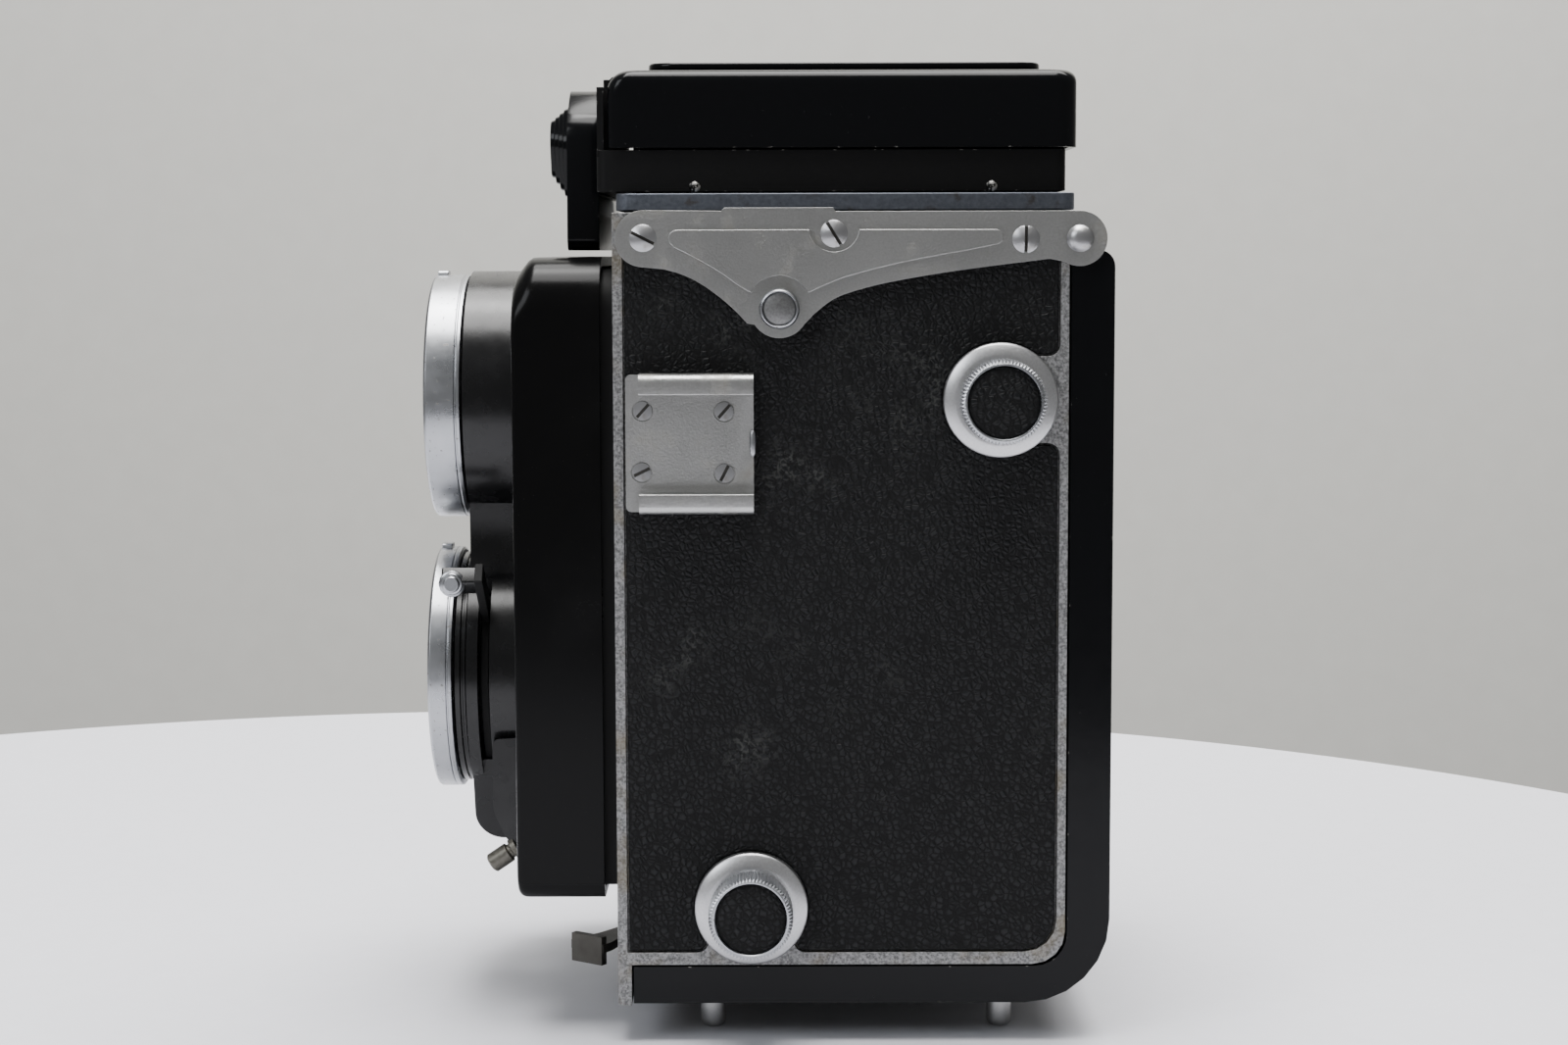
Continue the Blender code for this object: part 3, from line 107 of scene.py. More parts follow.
def at(x, y, z):
    """A place from millimetres right of the lenses, behind the casting's front and above the table."""
    return Vector((MIDDLE + x * MM, FRONT + y * MM, z * MM))


def span(node):
    """The lowest corner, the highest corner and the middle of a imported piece, in the same millimetres."""
    low, high = ((corner - at(0, 0, 0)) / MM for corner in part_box(node))
    return low, high, (low + high) / 2


class Wire:
    """A value on its way to a finish, which can be added to and scaled as a number can."""

    def __init__(self, finish, socket):
        self.finish = finish
        self.socket = socket

    def sum(self, kind, *values):
        return self.finish.node("ShaderNodeMath", {"operation": kind}, dict(enumerate(values)))

    def __add__(self, other):
        return self.sum("ADD", self, other)

    def __sub__(self, other):
        return self.sum("SUBTRACT", self, other)

    def __rsub__(self, other):
        return self.sum("SUBTRACT", other, self)

    def __mul__(self, other):
        return self.sum("MULTIPLY", self, other)

    __radd__ = __add__
    __rmul__ = __mul__

    def above(self, low, high):
        """0 under low and 1 over high, with a soft step between."""
        return self.finish.node("ShaderNodeMapRange", {"interpolation_type": "SMOOTHSTEP"},
                                {0: self, 1: low, 2: high}, 0)


class Finish:
    """A finish: a shader whose steady values are set on it, and the nodes that vary the rest."""

    def __init__(self, name, slot, colour, roughness, metallic=0.0, steady=()):
        self.slot = slot
        self.material = bpy.data.materials.new(name)
        self.material.use_nodes = True
        self.tree = self.material.node_tree
        self.shader = self.tree.nodes["Principled BSDF"]
        values = {"Base Color": colour, "Roughness": roughness, "Metallic": metallic, **dict(steady)}
        for socket, value in values.items():
            self.vary(socket, value)
        self.place = self.node("ShaderNodeTexCoord", {}, {}, 3)

    def feed(self, socket, value):
        if isinstance(value, Wire):
            self.tree.links.new(value.socket, socket)
        elif isinstance(value, tuple) and socket.type == "RGBA":
            socket.default_value = (*value, 1.0)
        else:
            socket.default_value = value

    def node(self, kind, settings, sockets, out=0):
        made = self.tree.nodes.new(kind)
        for name, value in settings.items():
            setattr(made, name, value)
        for name, value in sockets.items():
            self.feed(made.inputs[name], value)
        return Wire(self, made.outputs[out])

    def vary(self, socket, value):
        self.feed(self.shader.inputs[socket], value)

    def vector(self, kind, *values):
        return self.node("ShaderNodeVectorMath", {"operation": kind}, dict(enumerate(values)))

    def split(self, axis):
        """How far along one axis a place is, in metres."""
        return self.node("ShaderNodeSeparateXYZ", {}, {"Vector": self.place}, axis)

    def noise(self, scale, detail=2.0, where=None, out=0):
        return self.node("ShaderNodeTexNoise", {}, {
            "Vector": where or self.place, "Scale": scale, "Detail": detail}, out)

    def pulled(self, scale, amount):
        """Places shifted by a noise, so that a pattern on them isn't regular."""
        return self.vector("MULTIPLY_ADD", self.noise(scale, 1, out=1), (amount,) * 3, self.place)

    def cells(self, scale, where=None, feature="DISTANCE_TO_EDGE"):
        return self.node("ShaderNodeTexVoronoi", {"feature": feature}, {
            "Vector": where or self.place, "Scale": scale})

    def blend(self, mask, first, second):
        return self.node("ShaderNodeMix", {"data_type": "RGBA"}, {0: mask, 6: first, 7: second}, 2)

    def relief(self, height, depth, strength=1.0):
        """Bump of a real depth in millimetres."""
        self.vary("Normal", self.node("ShaderNodeBump", {}, {
            "Strength": strength, "Distance": depth * MM, "Height": height}))

    def rims(self, width):
        """1 on the sharp edges of a piece and 0 on its flats."""
        eased = self.node("ShaderNodeBevel", {"samples": 4}, {"Radius": width * MM})
        flat = self.node("ShaderNodeNewGeometry", {}, {}, 1)
        return 1 - self.node("ShaderNodeVectorMath", {"operation": "DOT_PRODUCT"}, {0: eased, 1: flat}, 1)


def ease(piece, width, segments=3, angle=30):
    """Shade a piece smooth between its sharp edges, and round those."""
    piece.data.shade_smooth()
    piece.data.set_sharp_from_angle(angle=math.radians(angle))
    step = piece.modifiers.new("eased edges", "BEVEL")
    step.width = width * MM
    step.segments = segments
    step.limit_method = "ANGLE"
    step.angle_limit = math.radians(angle)
    step.harden_normals = True


def fit(piece, finish, *nodes, body=None):
    """Fix a piece to its body, with its finish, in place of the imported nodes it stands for."""
    piece.data.materials.clear()
    piece.data.materials.append(finish.material)
    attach(piece, body or frame["nodes"][nodes[0]]["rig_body"])
    if nodes:
        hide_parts(*nodes)
    return piece


def link(name, shape):
    bmesh.ops.remove_doubles(shape, verts=shape.verts, dist=0.0000005)
    bmesh.ops.recalc_face_normals(shape, faces=shape.faces)
    mesh = bpy.data.meshes.new(name)
    shape.to_mesh(mesh)
    shape.free()
    piece = bpy.data.objects.new(name, mesh)
    bpy.context.scene.collection.objects.link(piece)
    return piece


def finer(node, finish, width=0.2, segments=2, angle=30):
    """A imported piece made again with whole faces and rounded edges."""
    shape = bmesh.new()
    shape.from_mesh(frame["nodes"][node].data)
    bmesh.ops.remove_doubles(shape, verts=shape.verts, dist=0.000001)
    bmesh.ops.dissolve_limit(shape, angle_limit=math.radians(0.5), verts=shape.verts, edges=shape.edges)
    piece = link("fine_" + node, shape)
    ease(piece, width, segments, angle)
    return fit(piece, finish, node)


silver_paint = Finish("silver_paint", "grey_alloy", (0.5, 0.5, 0.48), 0.45, 0.35)
mottle = silver_paint.noise(2700, 3)
dirt_and_slot_shade = silver_paint.noise(160, 4).above(0.5, 0.72)
across = silver_paint.split(0)
off_centre = across.sum("ABSOLUTE", across - MIDDLE)
inside = 1 - off_centre.above((SIDE - 1.3) * MM, (SIDE - 1.1) * MM)
inside = inside * silver_paint.split(1).above(FRONT + 1.0 * MM, FRONT + 1.4 * MM)
fresh_silver = silver_paint.blend(mottle.above(0.3, 0.7), (0.09, 0.09, 0.09), (0.30, 0.30, 0.30))
aged_silver = silver_paint.blend(dirt_and_slot_shade * 0.55, fresh_silver, (0.15, 0.12, 0.065))
silver_paint.vary("Base Color", silver_paint.blend(
    inside, aged_silver, silver_paint.blend(mottle, (0.004, 0.004, 0.004), (0.012, 0.012, 0.012))))
silver_paint.vary("Metallic", 0.35 - 0.35 * inside)
silver_paint.vary("Roughness", 0.38 + 0.25 * mottle + 0.15 * inside)
silver_paint.relief(mottle, 0.05)
finer("body_casting", silver_paint, 0.12)


# ---------------------------------------------------------------- leatherette
# Black grained leathercloth is glued into the recess on each side and on the door.
# Its pebbles are a little under a millimetre across. The cracks between them are
# painted darker, as painted shade in the creases, and in scattered patches they are
# painted lighter grey: partly grain rubbed smooth and grey where the hands hold the
# camera, partly painted highlight along the crease edges.

hide = Finish("leatherette", "leatherette", (0.008, 0.008, 0.009), 0.55, steady={"Specular IOR Level": 0.22})
wander = hide.pulled(520, 0.00045)
pebbles = hide.cells(1080, wander).above(0.015, 0.3)
folds = hide.cells(400, wander).above(0.0, 0.12)
fine_grain = hide.noise(5200, 2)
wear_and_crease_highlight = hide.noise(60, 4).above(0.52, 0.74) * hide.noise(1300, 2).above(0.46, 0.62)
grain = pebbles * (0.35 + 0.65 * folds)
# Painted shade: the cracks and folds between the pebbles get a darker colour than the pebble tops.
painted_crease_shade = hide.blend(grain, (0.0008, 0.0008, 0.0009), (0.0064, 0.0069, 0.0076))
# Painted highlight and wear: in the rubbed patches the cracks are lightened to grey.
hide.vary("Base Color", hide.blend(wear_and_crease_highlight * (1 - pebbles) * 0.5, painted_crease_shade, (0.085, 0.088, 0.082)))
hide.vary("Roughness", 0.62 - 0.32 * grain + 0.12 * fine_grain)
hide.relief(grain + 0.10 * fine_grain, 0.13)
for cloth in ("right_leatherette", "left_leatherette"):
    finer(cloth, hide, 0.25)


# ---------------------------------------------------------------- strap brackets
# A nickelled steel bracket is screwed over the leather on each side.  It is pressed
# out with a raised panel between its screws, it bears the strap's stud, and its
# rear lobe holds the pin that the door hangs on.

PLANES = {
    "Z": Matrix(((1, 0, 0), (0, 1, 0), (0, 0, 1))),
    "X": Matrix(((0, 0, 1), (1, 0, 0), (0, 1, 0))),
    "-X": Matrix(((0, 0, -1), (1, 0, 0), (0, -1, 0))),
    "Y": Matrix(((1, 0, 0), (0, 0, -1), (0, 1, 0))),
}


def put(name, shape, place=(0, 0, 0), plane="Z"):
    """Link a mesh drawn in millimetres, turned into a plane at a place."""
    bmesh.ops.scale(shape, vec=(MM,) * 3, verts=shape.verts)
    piece = link(name, shape)
    piece.matrix_world = Matrix.Translation(at(*place)) @ PLANES[plane].to_4x4()
    return piece


def arc(centre, radius, start, end, steps=16):
    """Points along an arc, with its angles in degrees."""
    turns = [math.radians(start + (end - start) * i / steps) for i in range(steps + 1)]
    return [(centre[0] + radius * math.cos(a), centre[1] + radius * math.sin(a)) for a in turns]


def rounded(corners, steps=6):
    """An outline whose corners (u, v, radius) are rounded by tangent arcs."""
    outline = []
    for i, (u, v, radius) in enumerate(corners):
        here = Vector((u, v))
        before = (Vector(corners[i - 1][:2]) - here).normalized()
        after = (Vector(corners[(i + 1) % len(corners)][:2]) - here).normalized()
        if radius == 0:
            outline.append((u, v))
            continue
        half = before.angle(after) / 2
        middle = here + (before + after).normalized() * radius / math.sin(half)
        first = here + before * radius / math.tan(half) - middle
        last = here + after * radius / math.tan(half) - middle
        turn = first.angle_signed(last)
        for k in range(steps + 1):
            spoke = first.copy()
            spoke.rotate(Matrix.Rotation(-turn * k / steps, 2))
            outline.append(tuple(middle + spoke))
    return outline


def flowing(points, steps=4):
    """A smooth run of points through a few, ends included."""
    run = []
    spots = [Vector(p) for p in (points[0], *points, points[-1])]
    for a, b, c, d in zip(spots, spots[1:], spots[2:], spots[3:]):
        for k in range(steps):
            t = k / steps
            run.append(tuple((2 * b + (c - a) * t + (2 * a - 5 * b + 4 * c - d) * t ** 2
                              + (3 * b - a - 3 * c + d) * t ** 3) / 2))
    return run + [tuple(spots[-1])]


def pressed(name, outline, low, high, plane, holes=(), place=(0, 0, 0)):
    """A flat shape from low to high across its plane, with holes through it."""
    shape = bmesh.new()
    edges = []
    for ring in (outline, *holes):
        spots = [shape.verts.new((u, v, low)) for u, v in ring]
        edges += [shape.edges.new(pair) for pair in zip(spots, spots[1:] + spots[:1])]
    if holes:
        bmesh.ops.triangle_fill(shape, edges=edges, use_beauty=True)
    else:
        shape.faces.new(shape.verts)
    raised = bmesh.ops.extrude_face_region(shape, geom=shape.faces[:])["geom"]
    bmesh.ops.translate(shape, vec=(0, 0, high - low),
                        verts=[v for v in raised if isinstance(v, bmesh.types.BMVert)])
    return put(name, shape, place, plane)


def turned(name, profile, place, plane, steps=96):
    """A turned shape from (radius, height) points; one that has a bore closes on itself."""
    shape = bmesh.new()
    spots = [shape.verts.new((r, 0, h)) for r, h in profile]
    pairs = list(zip(spots, spots[1:]))
    if profile[0][0] > 0:
        pairs.append((spots[-1], spots[0]))
    edges = [shape.edges.new(pair) for pair in pairs]
    bmesh.ops.spin(shape, geom=spots + edges, cent=(0, 0, 0), axis=(0, 0, 1), angle=math.tau,
                   steps=steps, use_merge=True)
    return put(name, shape, place, plane)


def work(body, kind, *tools):
    """Cut tools out of a body, or weld them to it, and take the tools away."""
    for tool in tools:
        step = body.modifiers.new("work", "BOOLEAN")
        step.operation = kind
        step.object = tool
        graph = bpy.context.evaluated_depsgraph_get()
        made = bpy.data.meshes.new_from_object(body.evaluated_get(graph))
        body.modifiers.remove(step)
        body.data = made
        bpy.data.objects.remove(tool, do_unlink=True)
    return body


def bar(name, low, high):
    """A plain block between two corners, as a tool to cut or weld with."""
    shape = bmesh.new()
    bmesh.ops.create_cube(shape, size=1.0)
    bmesh.ops.scale(shape, vec=[b - a for a, b in zip(low, high)], verts=shape.verts)
    return put(name, shape, [(a + b) / 2 for a, b in zip(low, high)])


nickel = Finish("satin_nickel", "nickel", (0.5, 0.5, 0.49), 0.36, 1.0)
frost = nickel.noise(3200, 3)
tarnish = nickel.noise(210, 4).above(0.54, 0.78)
cloudy = nickel.noise(45, 2)
clean_nickel = nickel.blend(0.5 * cloudy + 0.5 * frost, (0.30, 0.30, 0.298), (0.60, 0.60, 0.59))
nickel.vary("Base Color", nickel.blend(tarnish * 0.5, clean_nickel, (0.20, 0.18, 0.13)))
nickel.vary("Roughness", 0.26 + 0.2 * frost + 0.2 * tarnish)
nickel.relief(frost, 0.03)

screw_steel = Finish("turned_steel", "nickel", (0.5, 0.5, 0.51), 0.3, 1.0)
rings = screw_steel.noise(6000, 2)
screw_steel.vary("Roughness", 0.26 + 0.2 * rings)
screw_steel.vary("Base Color", screw_steel.blend(
    screw_steel.noise(500, 3).above(0.55, 0.8), (0.40, 0.40, 0.41), (0.22, 0.20, 0.16)))


# Painted shade: a dark finish for a bar set down in each screw's slot, standing for the shadow inside the
# slot.
packed_dirt = Finish("packed_dirt", "nickel", (0.012, 0.011, 0.009), 0.8)
slot_shade_speckle = packed_dirt.noise(5000, 3)
packed_dirt.vary("Base Color", packed_dirt.blend(slot_shade_speckle, (0.006, 0.0055, 0.005), (0.03, 0.026, 0.02)))
packed_dirt.relief(slot_shade_speckle, 0.03)


def slotted(name, place, plane, radius, height, lean, body):
    """A screw's head with a sawn slot that leans by an angle, and a dark bar of painted shade down in the
    slot.
    """
    head = turned(name, [(0, height), (radius * 0.25, height * 0.97), (radius * 0.86, height * 0.45),
                         (radius, height * 0.2), (radius, -0.5), (0, -0.5)], place, plane, 64)
    floor = height * 0.35
    slot = bar(name + "_slot", (-radius * 1.2, -0.24, floor - 0.45), (radius * 1.2, 0.24, height + 0.5))
    slot.matrix_world = (head.matrix_world @ Matrix.Rotation(math.radians(lean), 4, "Z")
                         @ Matrix.Translation((0, 0, (floor + height + 0.05) / 2 * MM)))
    work(head, "DIFFERENCE", slot)
    ease(head, 0.05, 2)
    fit(head, screw_steel, body=body)
    # Painted shade: a dark bar down in the slot stands for the shadow inside it.
    dirt_and_slot_shade = bar(name + "_dirt", (-radius * 0.9, -0.23, -0.1), (radius * 0.9, 0.23, floor))
    dirt_and_slot_shade.matrix_world = head.matrix_world @ Matrix.Rotation(math.radians(lean), 4, "Z")
    dirt_and_slot_shade.data.transform(Matrix.Translation((0, 0, (floor - 0.1) / 2 * MM)))
    fit(dirt_and_slot_shade, packed_dirt, body=body)


BRACKET_IN = SIDE + 0.3
BRACKET_OUT = BRACKET_IN + 1.0
STUD = (25.0, TOP - 14.3)
HINGE = (69.75, TOP - 4.0)
STRAP_SCREWS = ((4.7, TOP - 3.8, -27), (33.15, TOP - 3.2, -58), (61.7, TOP - 4.1, 89))

strap_edge = arc((4.7, TOP - 3.9), 4.2, 90, 262, 20)
strap_edge += flowing([(7.7, 118.3), (10.5, 117.5), (13.3, 116.1),
                       (16.0, 114.2), (18.3, 112.2), (20.2, 110.2)])
strap_edge += arc(STUD, 4.4, 213, 327, 16)
strap_edge += flowing([(30.2, 111.6), (32.8, 113.6), (35.6, 114.8), (41.0, 116.2),
                       (48.4, 117.5), (54.0, 118.3), (59.5, 119.0), (65.3, 119.7)])
strap_edge += arc(HINGE, 4.1, 238, 450, 24)
strap_edge += [(33.4, TOP + 0.1), (33.0, TOP + 0.65), (16.8, TOP + 0.65), (16.4, TOP + 0.2)]

panel_edge = [(9.8, 124.1), (29.5, 124.1)] + arc((33.2, 124.5), 3.7, 188, 352, 18) + [(37.0, 124.1)]
panel_edge += arc((57.2, 122.95), 1.12, 90, -75, 8)
panel_edge += flowing([(53.0, 121.0), (48.4, 120.2), (42.3, 119.0),
                       (35.6, 117.3), (32.3, 116.1), (29.4, 114.8)])
panel_edge += arc(STUD, 4.9, 30, 150, 16)
panel_edge += flowing([(20.3, 115.0), (18.7, 116.0), (15.9, 118.0), (12.0, 120.2), (9.2, 121.6)])
panel_edge += arc((9.8, 122.85), 1.25, 240, 90, 8)

chrome = Finish("chrome", "chrome", (0.68, 0.68, 0.69), 0.13, 1.0)
haze = chrome.noise(260, 4)
pits = chrome.noise(1500, 2).above(0.66, 0.74)
chrome.vary("Base Color", chrome.blend(pits * 0.6, chrome.blend(haze, (0.33, 0.34, 0.36), (0.48, 0.49, 0.51)),
                                       (0.15, 0.13, 0.10)))
chrome.vary("Roughness", 0.20 + 0.2 * haze + 0.3 * pits)
chrome.relief(chrome.noise(3800, 2), 0.004)

dull_face = Finish("dull_face", "nickel", (0.25, 0.25, 0.25), 0.4, 1.0)
speckle = dull_face.noise(2600, 3)
dull_face.vary("Base Color", dull_face.blend(speckle, (0.12, 0.12, 0.12), (0.34, 0.34, 0.34)))
dull_face.vary("Roughness", 0.32 + 0.25 * speckle)

for side, sign in (("right", 1), ("left", -1)):
    body = frame["nodes"][side + "_bracket"]["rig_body"]
    outward = "X" if sign > 0 else "-X"
    low, high = sorted((sign * BRACKET_IN, sign * BRACKET_OUT))
    strap = pressed(side + "_strap", strap_edge, low, high, "X", holes=[arc(HINGE, 1.35, 0, 360, 24)[:-1]])
    ease(strap, 0.3, 3, 40)
    fit(strap, nickel, side + "_bracket")
    low, high = sorted((sign * (BRACKET_IN + 0.5), sign * (BRACKET_OUT + 0.62)))
    raised = pressed(side + "_strap_panel", panel_edge, low, high, "X")
    ease(raised, 0.58, 4, 25)
    fit(raised, nickel, body=body)
    for i, (y, z, lean) in enumerate(STRAP_SCREWS):
        name = "%s_strap_screw_%d" % (side, i + 1)
        slotted(name, (sign * BRACKET_OUT, y, z), outward, 2.05, 0.75, lean, body)
    foot = sign * (BRACKET_OUT + 0.3)
    stud = turned(side + "_stud", [(0, 1.9), (2.45, 1.9), (2.45, 2.35), (2.6, 2.6), (2.8, 2.5), (3.0, 2.1),
                                   (3.0, 0.4), (2.3, 0.0), (0, 0)], (foot, *STUD), outward)
    ease(stud, 0.08, 2)
    fit(stud, chrome, side + "_strap_stud")
    face = turned(side + "_stud_face", [(0, 2.3), (2.1, 2.3), (2.42, 2.12), (2.42, 1.95), (0, 1.95)],
                  (foot, *STUD), outward)
    ease(face, 0.06, 2)
    fit(face, dull_face, body=body)
    pin = turned(side + "_pin_head", [(0, 1.1), (0.7, 1.05), (1.3, 0.85), (1.75, 0.45), (2.05, 0.0),
                                      (1.05, 0.0), (1.05, -8.4), (0, -8.4)], (foot, *HINGE), outward, 64)
    ease(pin, 0.05, 2)
    fit(pin, screw_steel, side + "_hinge_pin")


# ---------------------------------------------------------------- accessory shoe
# The shoe is folded from one piece of nickelled sheet: its two long edges are
# turned over into lips, it is held by four flush screws, and a small bright stop
# stands at its rear end.

shoe_low, shoe_high, shoe_middle = span("accessory_shoe")
SHOE_IN, SHOE_FRONT, _ = shoe_low
SHOE_OUT, SHOE_REAR, _ = shoe_high
SHEET = 1.1
SHOE_HALF = 10.5
LIP = 3.1

half_fold = [(SHOE_IN, SHOE_HALF, 0.9), (SHOE_OUT, SHOE_HALF, 1.3), (SHOE_OUT, SHOE_HALF - LIP, 0.15),
             (SHOE_OUT - 1.0, SHOE_HALF - LIP, 0.15), (SHOE_OUT - 1.0, SHOE_HALF - SHEET, 0.3),
             (SHOE_IN + SHEET, SHOE_HALF - SHEET, 0.3)]
folded = rounded([(x, shoe_middle.z - rise, bend) for x, rise, bend in half_fold]
                 + [(x, shoe_middle.z + rise, bend) for x, rise, bend in reversed(half_fold)])
shoe = pressed("shoe", folded, -SHOE_REAR, -SHOE_FRONT - 2.1, "Y")
low, high = shoe_middle.z - SHOE_HALF + 0.2, shoe_middle.z + SHOE_HALF - 0.2
tongue = pressed("shoe_tongue", rounded([(SHOE_FRONT, low, 0.8), (SHOE_FRONT + 3.0, low, 0),
                                         (SHOE_FRONT + 3.0, high, 0), (SHOE_FRONT, high, 0.8)]),
                 SHOE_IN + 0.02, SHOE_IN + SHEET, "X")
work(shoe, "UNION", tongue)
SHOE_SCREWS = ((4.5, 97.2, 48), (16.7, 97.1, 48), (4.3, 88.0, 26), (16.7, 87.8, 63))
for y, z, _ in SHOE_SCREWS:
    work(shoe, "DIFFERENCE", turned("countersink", [(0, 1.0), (1.62, 1.0), (1.62, -0.35), (0, -0.35)],
                                    (SHOE_IN + SHEET, y, z), "X", 48))
ease(shoe, 0.12, 2, 35)
fit(shoe, nickel, "accessory_shoe")
shoe_body = frame["nodes"]["accessory_shoe"]["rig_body"]
for i, (y, z, lean) in enumerate(SHOE_SCREWS):
    slotted("shoe_screw_%d" % (i + 1), (SHOE_IN + SHEET - 0.06, y, z), "X", 1.42, 0.08, lean, shoe_body)
stop = turned("shoe_stop", [(0, 2.1), (0.25, 1.95), (0.45, 1.4), (0.5, 0.0), (0.45, -1.4), (0.25, -1.95),
                            (0, -2.1)], (SHOE_IN + SHEET + 0.15, SHOE_REAR - 0.15, shoe_middle.z), "Z", 32)
stop.data.shade_smooth()
fit(stop, chrome, body=shoe_body)


# ---------------------------------------------------------------- spool knobs
# Each spool turns on a spring pin with a small knurled knob.  The knob has a disc
# of leathercloth let into its end, and it stands in a low coned flange.

pin_steel = Finish("pin_steel", "steel", (0.42, 0.43, 0.44), 0.32, 1.0)
turning = pin_steel.noise(3000, 2)
pin_steel.vary("Roughness", 0.24 + 0.22 * turning)
pin_steel.vary("Base Color", pin_steel.blend(turning, (0.36, 0.37, 0.38), (0.5, 0.5, 0.51)))


def knurl(piece, teeth, radius, depth):
    """Press straight grooves into a turned piece where it is as wide as the radius."""
    step = math.tau / (2 * teeth)
    for spot in piece.data.vertices:
        reach = math.hypot(spot.co.x, spot.co.y)
        if reach > radius * MM and round(math.atan2(spot.co.y, spot.co.x) / step) % 2:
            spot.co.x *= 1 - depth / radius
            spot.co.y *= 1 - depth / radius


satin_chrome = Finish("satin_chrome", "chrome", (0.6, 0.6, 0.61), 0.33, 1.0)
brushed = satin_chrome.noise(3300, 3)
satin_chrome.vary("Roughness", 0.27 + 0.16 * brushed)
satin_chrome.vary("Base Color", satin_chrome.blend(brushed, (0.46, 0.46, 0.47), (0.66, 0.66, 0.67)))

for end in ("upper", "lower"):
    low, high, middle = span(end + "_spool_flange")
    hub = (low.x, middle.y, middle.z)
    flange = turned(end + "_flange", [(3.4, 1.8), (6.6, 1.8), (6.95, 1.74), (8.3, 1.2), (8.55, 1.02),
                                      (8.65, 0.8), (8.65, 0), (3.4, 0)], hub, "X")
    ease(flange, 0.06, 2)
    fit(flange, satin_chrome, end + "_spool_flange")
    finer(end + "_spool_pin", pin_steel, 0.2)
    low, high, middle = span(end + "_spool_knob")
    hub = (low.x, middle.y, middle.z)
    tall = high.x - low.x
    knob = turned(end + "_knob", [
        (0, tall - 0.75), (5.42, tall - 0.75), (5.42, tall - 0.1), (5.5, tall), (5.7, tall),
        (5.78, tall - 0.05), (6.38, tall - 0.22), (6.4, tall - 0.5), (6.4, 0.7), (6.0, 0.2), (5.9, 0),
        (3.3, 0), (3.3, 3.2), (0, 3.2)], hub, "X", 144)
    knurl(knob, 72, 6.2, 0.5)
    ease(knob, 0.02, 1, 25)
    fit(knob, chrome, end + "_spool_knob")
    disc = turned(end + "_knob_leather", [
        (0, tall - 0.3), (4.6, tall - 0.33), (5.2, tall - 0.42), (5.38, tall - 0.6), (5.38, tall - 0.74),
        (0, tall - 0.74)], hub, "X", 72)
    disc.data.shade_smooth()
    fit(disc, hide, body=frame["nodes"][end + "_spool_knob"]["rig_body"])


# ---------------------------------------------------------------- lens board
# The front standard is a shallow pan pressed from alloy and finished in satin
# black.  It slides on the light frame behind it, and its top is rounded well back.

satin_black = Finish("satin_black", "black_alloy", (0.003, 0.003, 0.0032), 0.42,
                     steady={"Specular IOR Level": 0.11})
dust = satin_black.noise(2600, 3)
rub = satin_black.noise(38, 3).above(0.45, 0.8)
handled = satin_black.blend(rub, (0.0030, 0.0030, 0.0031), (0.0052, 0.0052, 0.0052))
satin_black.vary("Base Color", satin_black.blend(dust.above(0.7, 0.78) * 0.35, handled, (0.05, 0.05, 0.047)))
satin_black.vary("Roughness", 0.15 + 0.10 * dust + 0.12 * rub)
satin_black.relief(dust, 0.006)

board_low, board_high, _ = span("lens_board")
BOARD_HALF, BOARD_REAR, BOARD_TOP = board_high
BOARD_FRONT, BOARD_BOTTOM = board_low.yz
TAKING = 52.6
VIEWING = 97.4
TUBE = 15.2


def fall(distance, reach, drop):
    """How far a quarter round has dropped at a distance from where it starts."""
    share = max(0.0, 1 - distance / reach)
    return drop * (1 - math.sqrt(1 - min(share, 1.0) ** 2))


def board_ring(y, inset):
    """The pan's outline at a depth, set in by the roundings of its front edges."""
    depth = y - BOARD_FRONT
    side = inset + fall(depth, 0.6, 0.55)
    slope = 3.4 * max(0.0, 1 - depth / 2.7)
    top = BOARD_TOP - inset - max(fall(depth, 1.2, 1.1) + slope, fall(depth, 4.3, 1.6))
    low = BOARD_BOTTOM + inset + fall(depth, 1.6, 1.4)
    half = BOARD_HALF - side
    outline = rounded([(-half, low, 3.0 - inset / 2), (half, low, 3.0 - inset / 2),
                       (half, top, 8.0 - inset), (-half, top, 8.0 - inset)], 10)
    return [(x, y, z) for x, z in outline]


def lofted(name, rings):
    """A closed skin over a stack of like rings, with a cap on the first and the last."""
    shape = bmesh.new()
    rows = [[shape.verts.new(spot) for spot in ring] for ring in rings]
    for low, high in zip(rows, rows[1:]):
        for i, spot in enumerate(low):
            k = (i + 1) % len(low)
            shape.faces.new((spot, low[k], high[k], high[i]))
    shape.faces.new(rows[0])
    shape.faces.new(rows[-1])
    return put(name, shape)


steps = (0, 0.08, 0.25, 0.5, 0.8, 1.2, 1.7, 2.3, 3.0, 3.7, 4.3)
rings = [board_ring(BOARD_FRONT + s, 0) for s in steps]
rings += [board_ring(BOARD_REAR, 0), board_ring(BOARD_REAR, 1.5)]
rings += [board_ring(BOARD_FRONT + s + 1.5, 1.5) for s in reversed(steps)]
pan = lofted("board_pan", rings)
button_middle = span("release_button")[2]
BUTTON = (button_middle.x, BOARD_FRONT, button_middle.z)
for height in (TAKING, VIEWING):
    work(pan, "DIFFERENCE", turned("board_hole", [(0, 5), (TUBE + 0.3, 5), (TUBE + 0.3, -5), (0, -5)],
                                   (0, BOARD_FRONT, height), "Y"))
work(pan, "DIFFERENCE", turned("button_hole", [(0, 5), (3.6, 5), (3.6, -5), (0, -5)], BUTTON, "Y", 48))
ease(pan, 0.15, 2, 50)
fit(pan, satin_black, "lens_board")

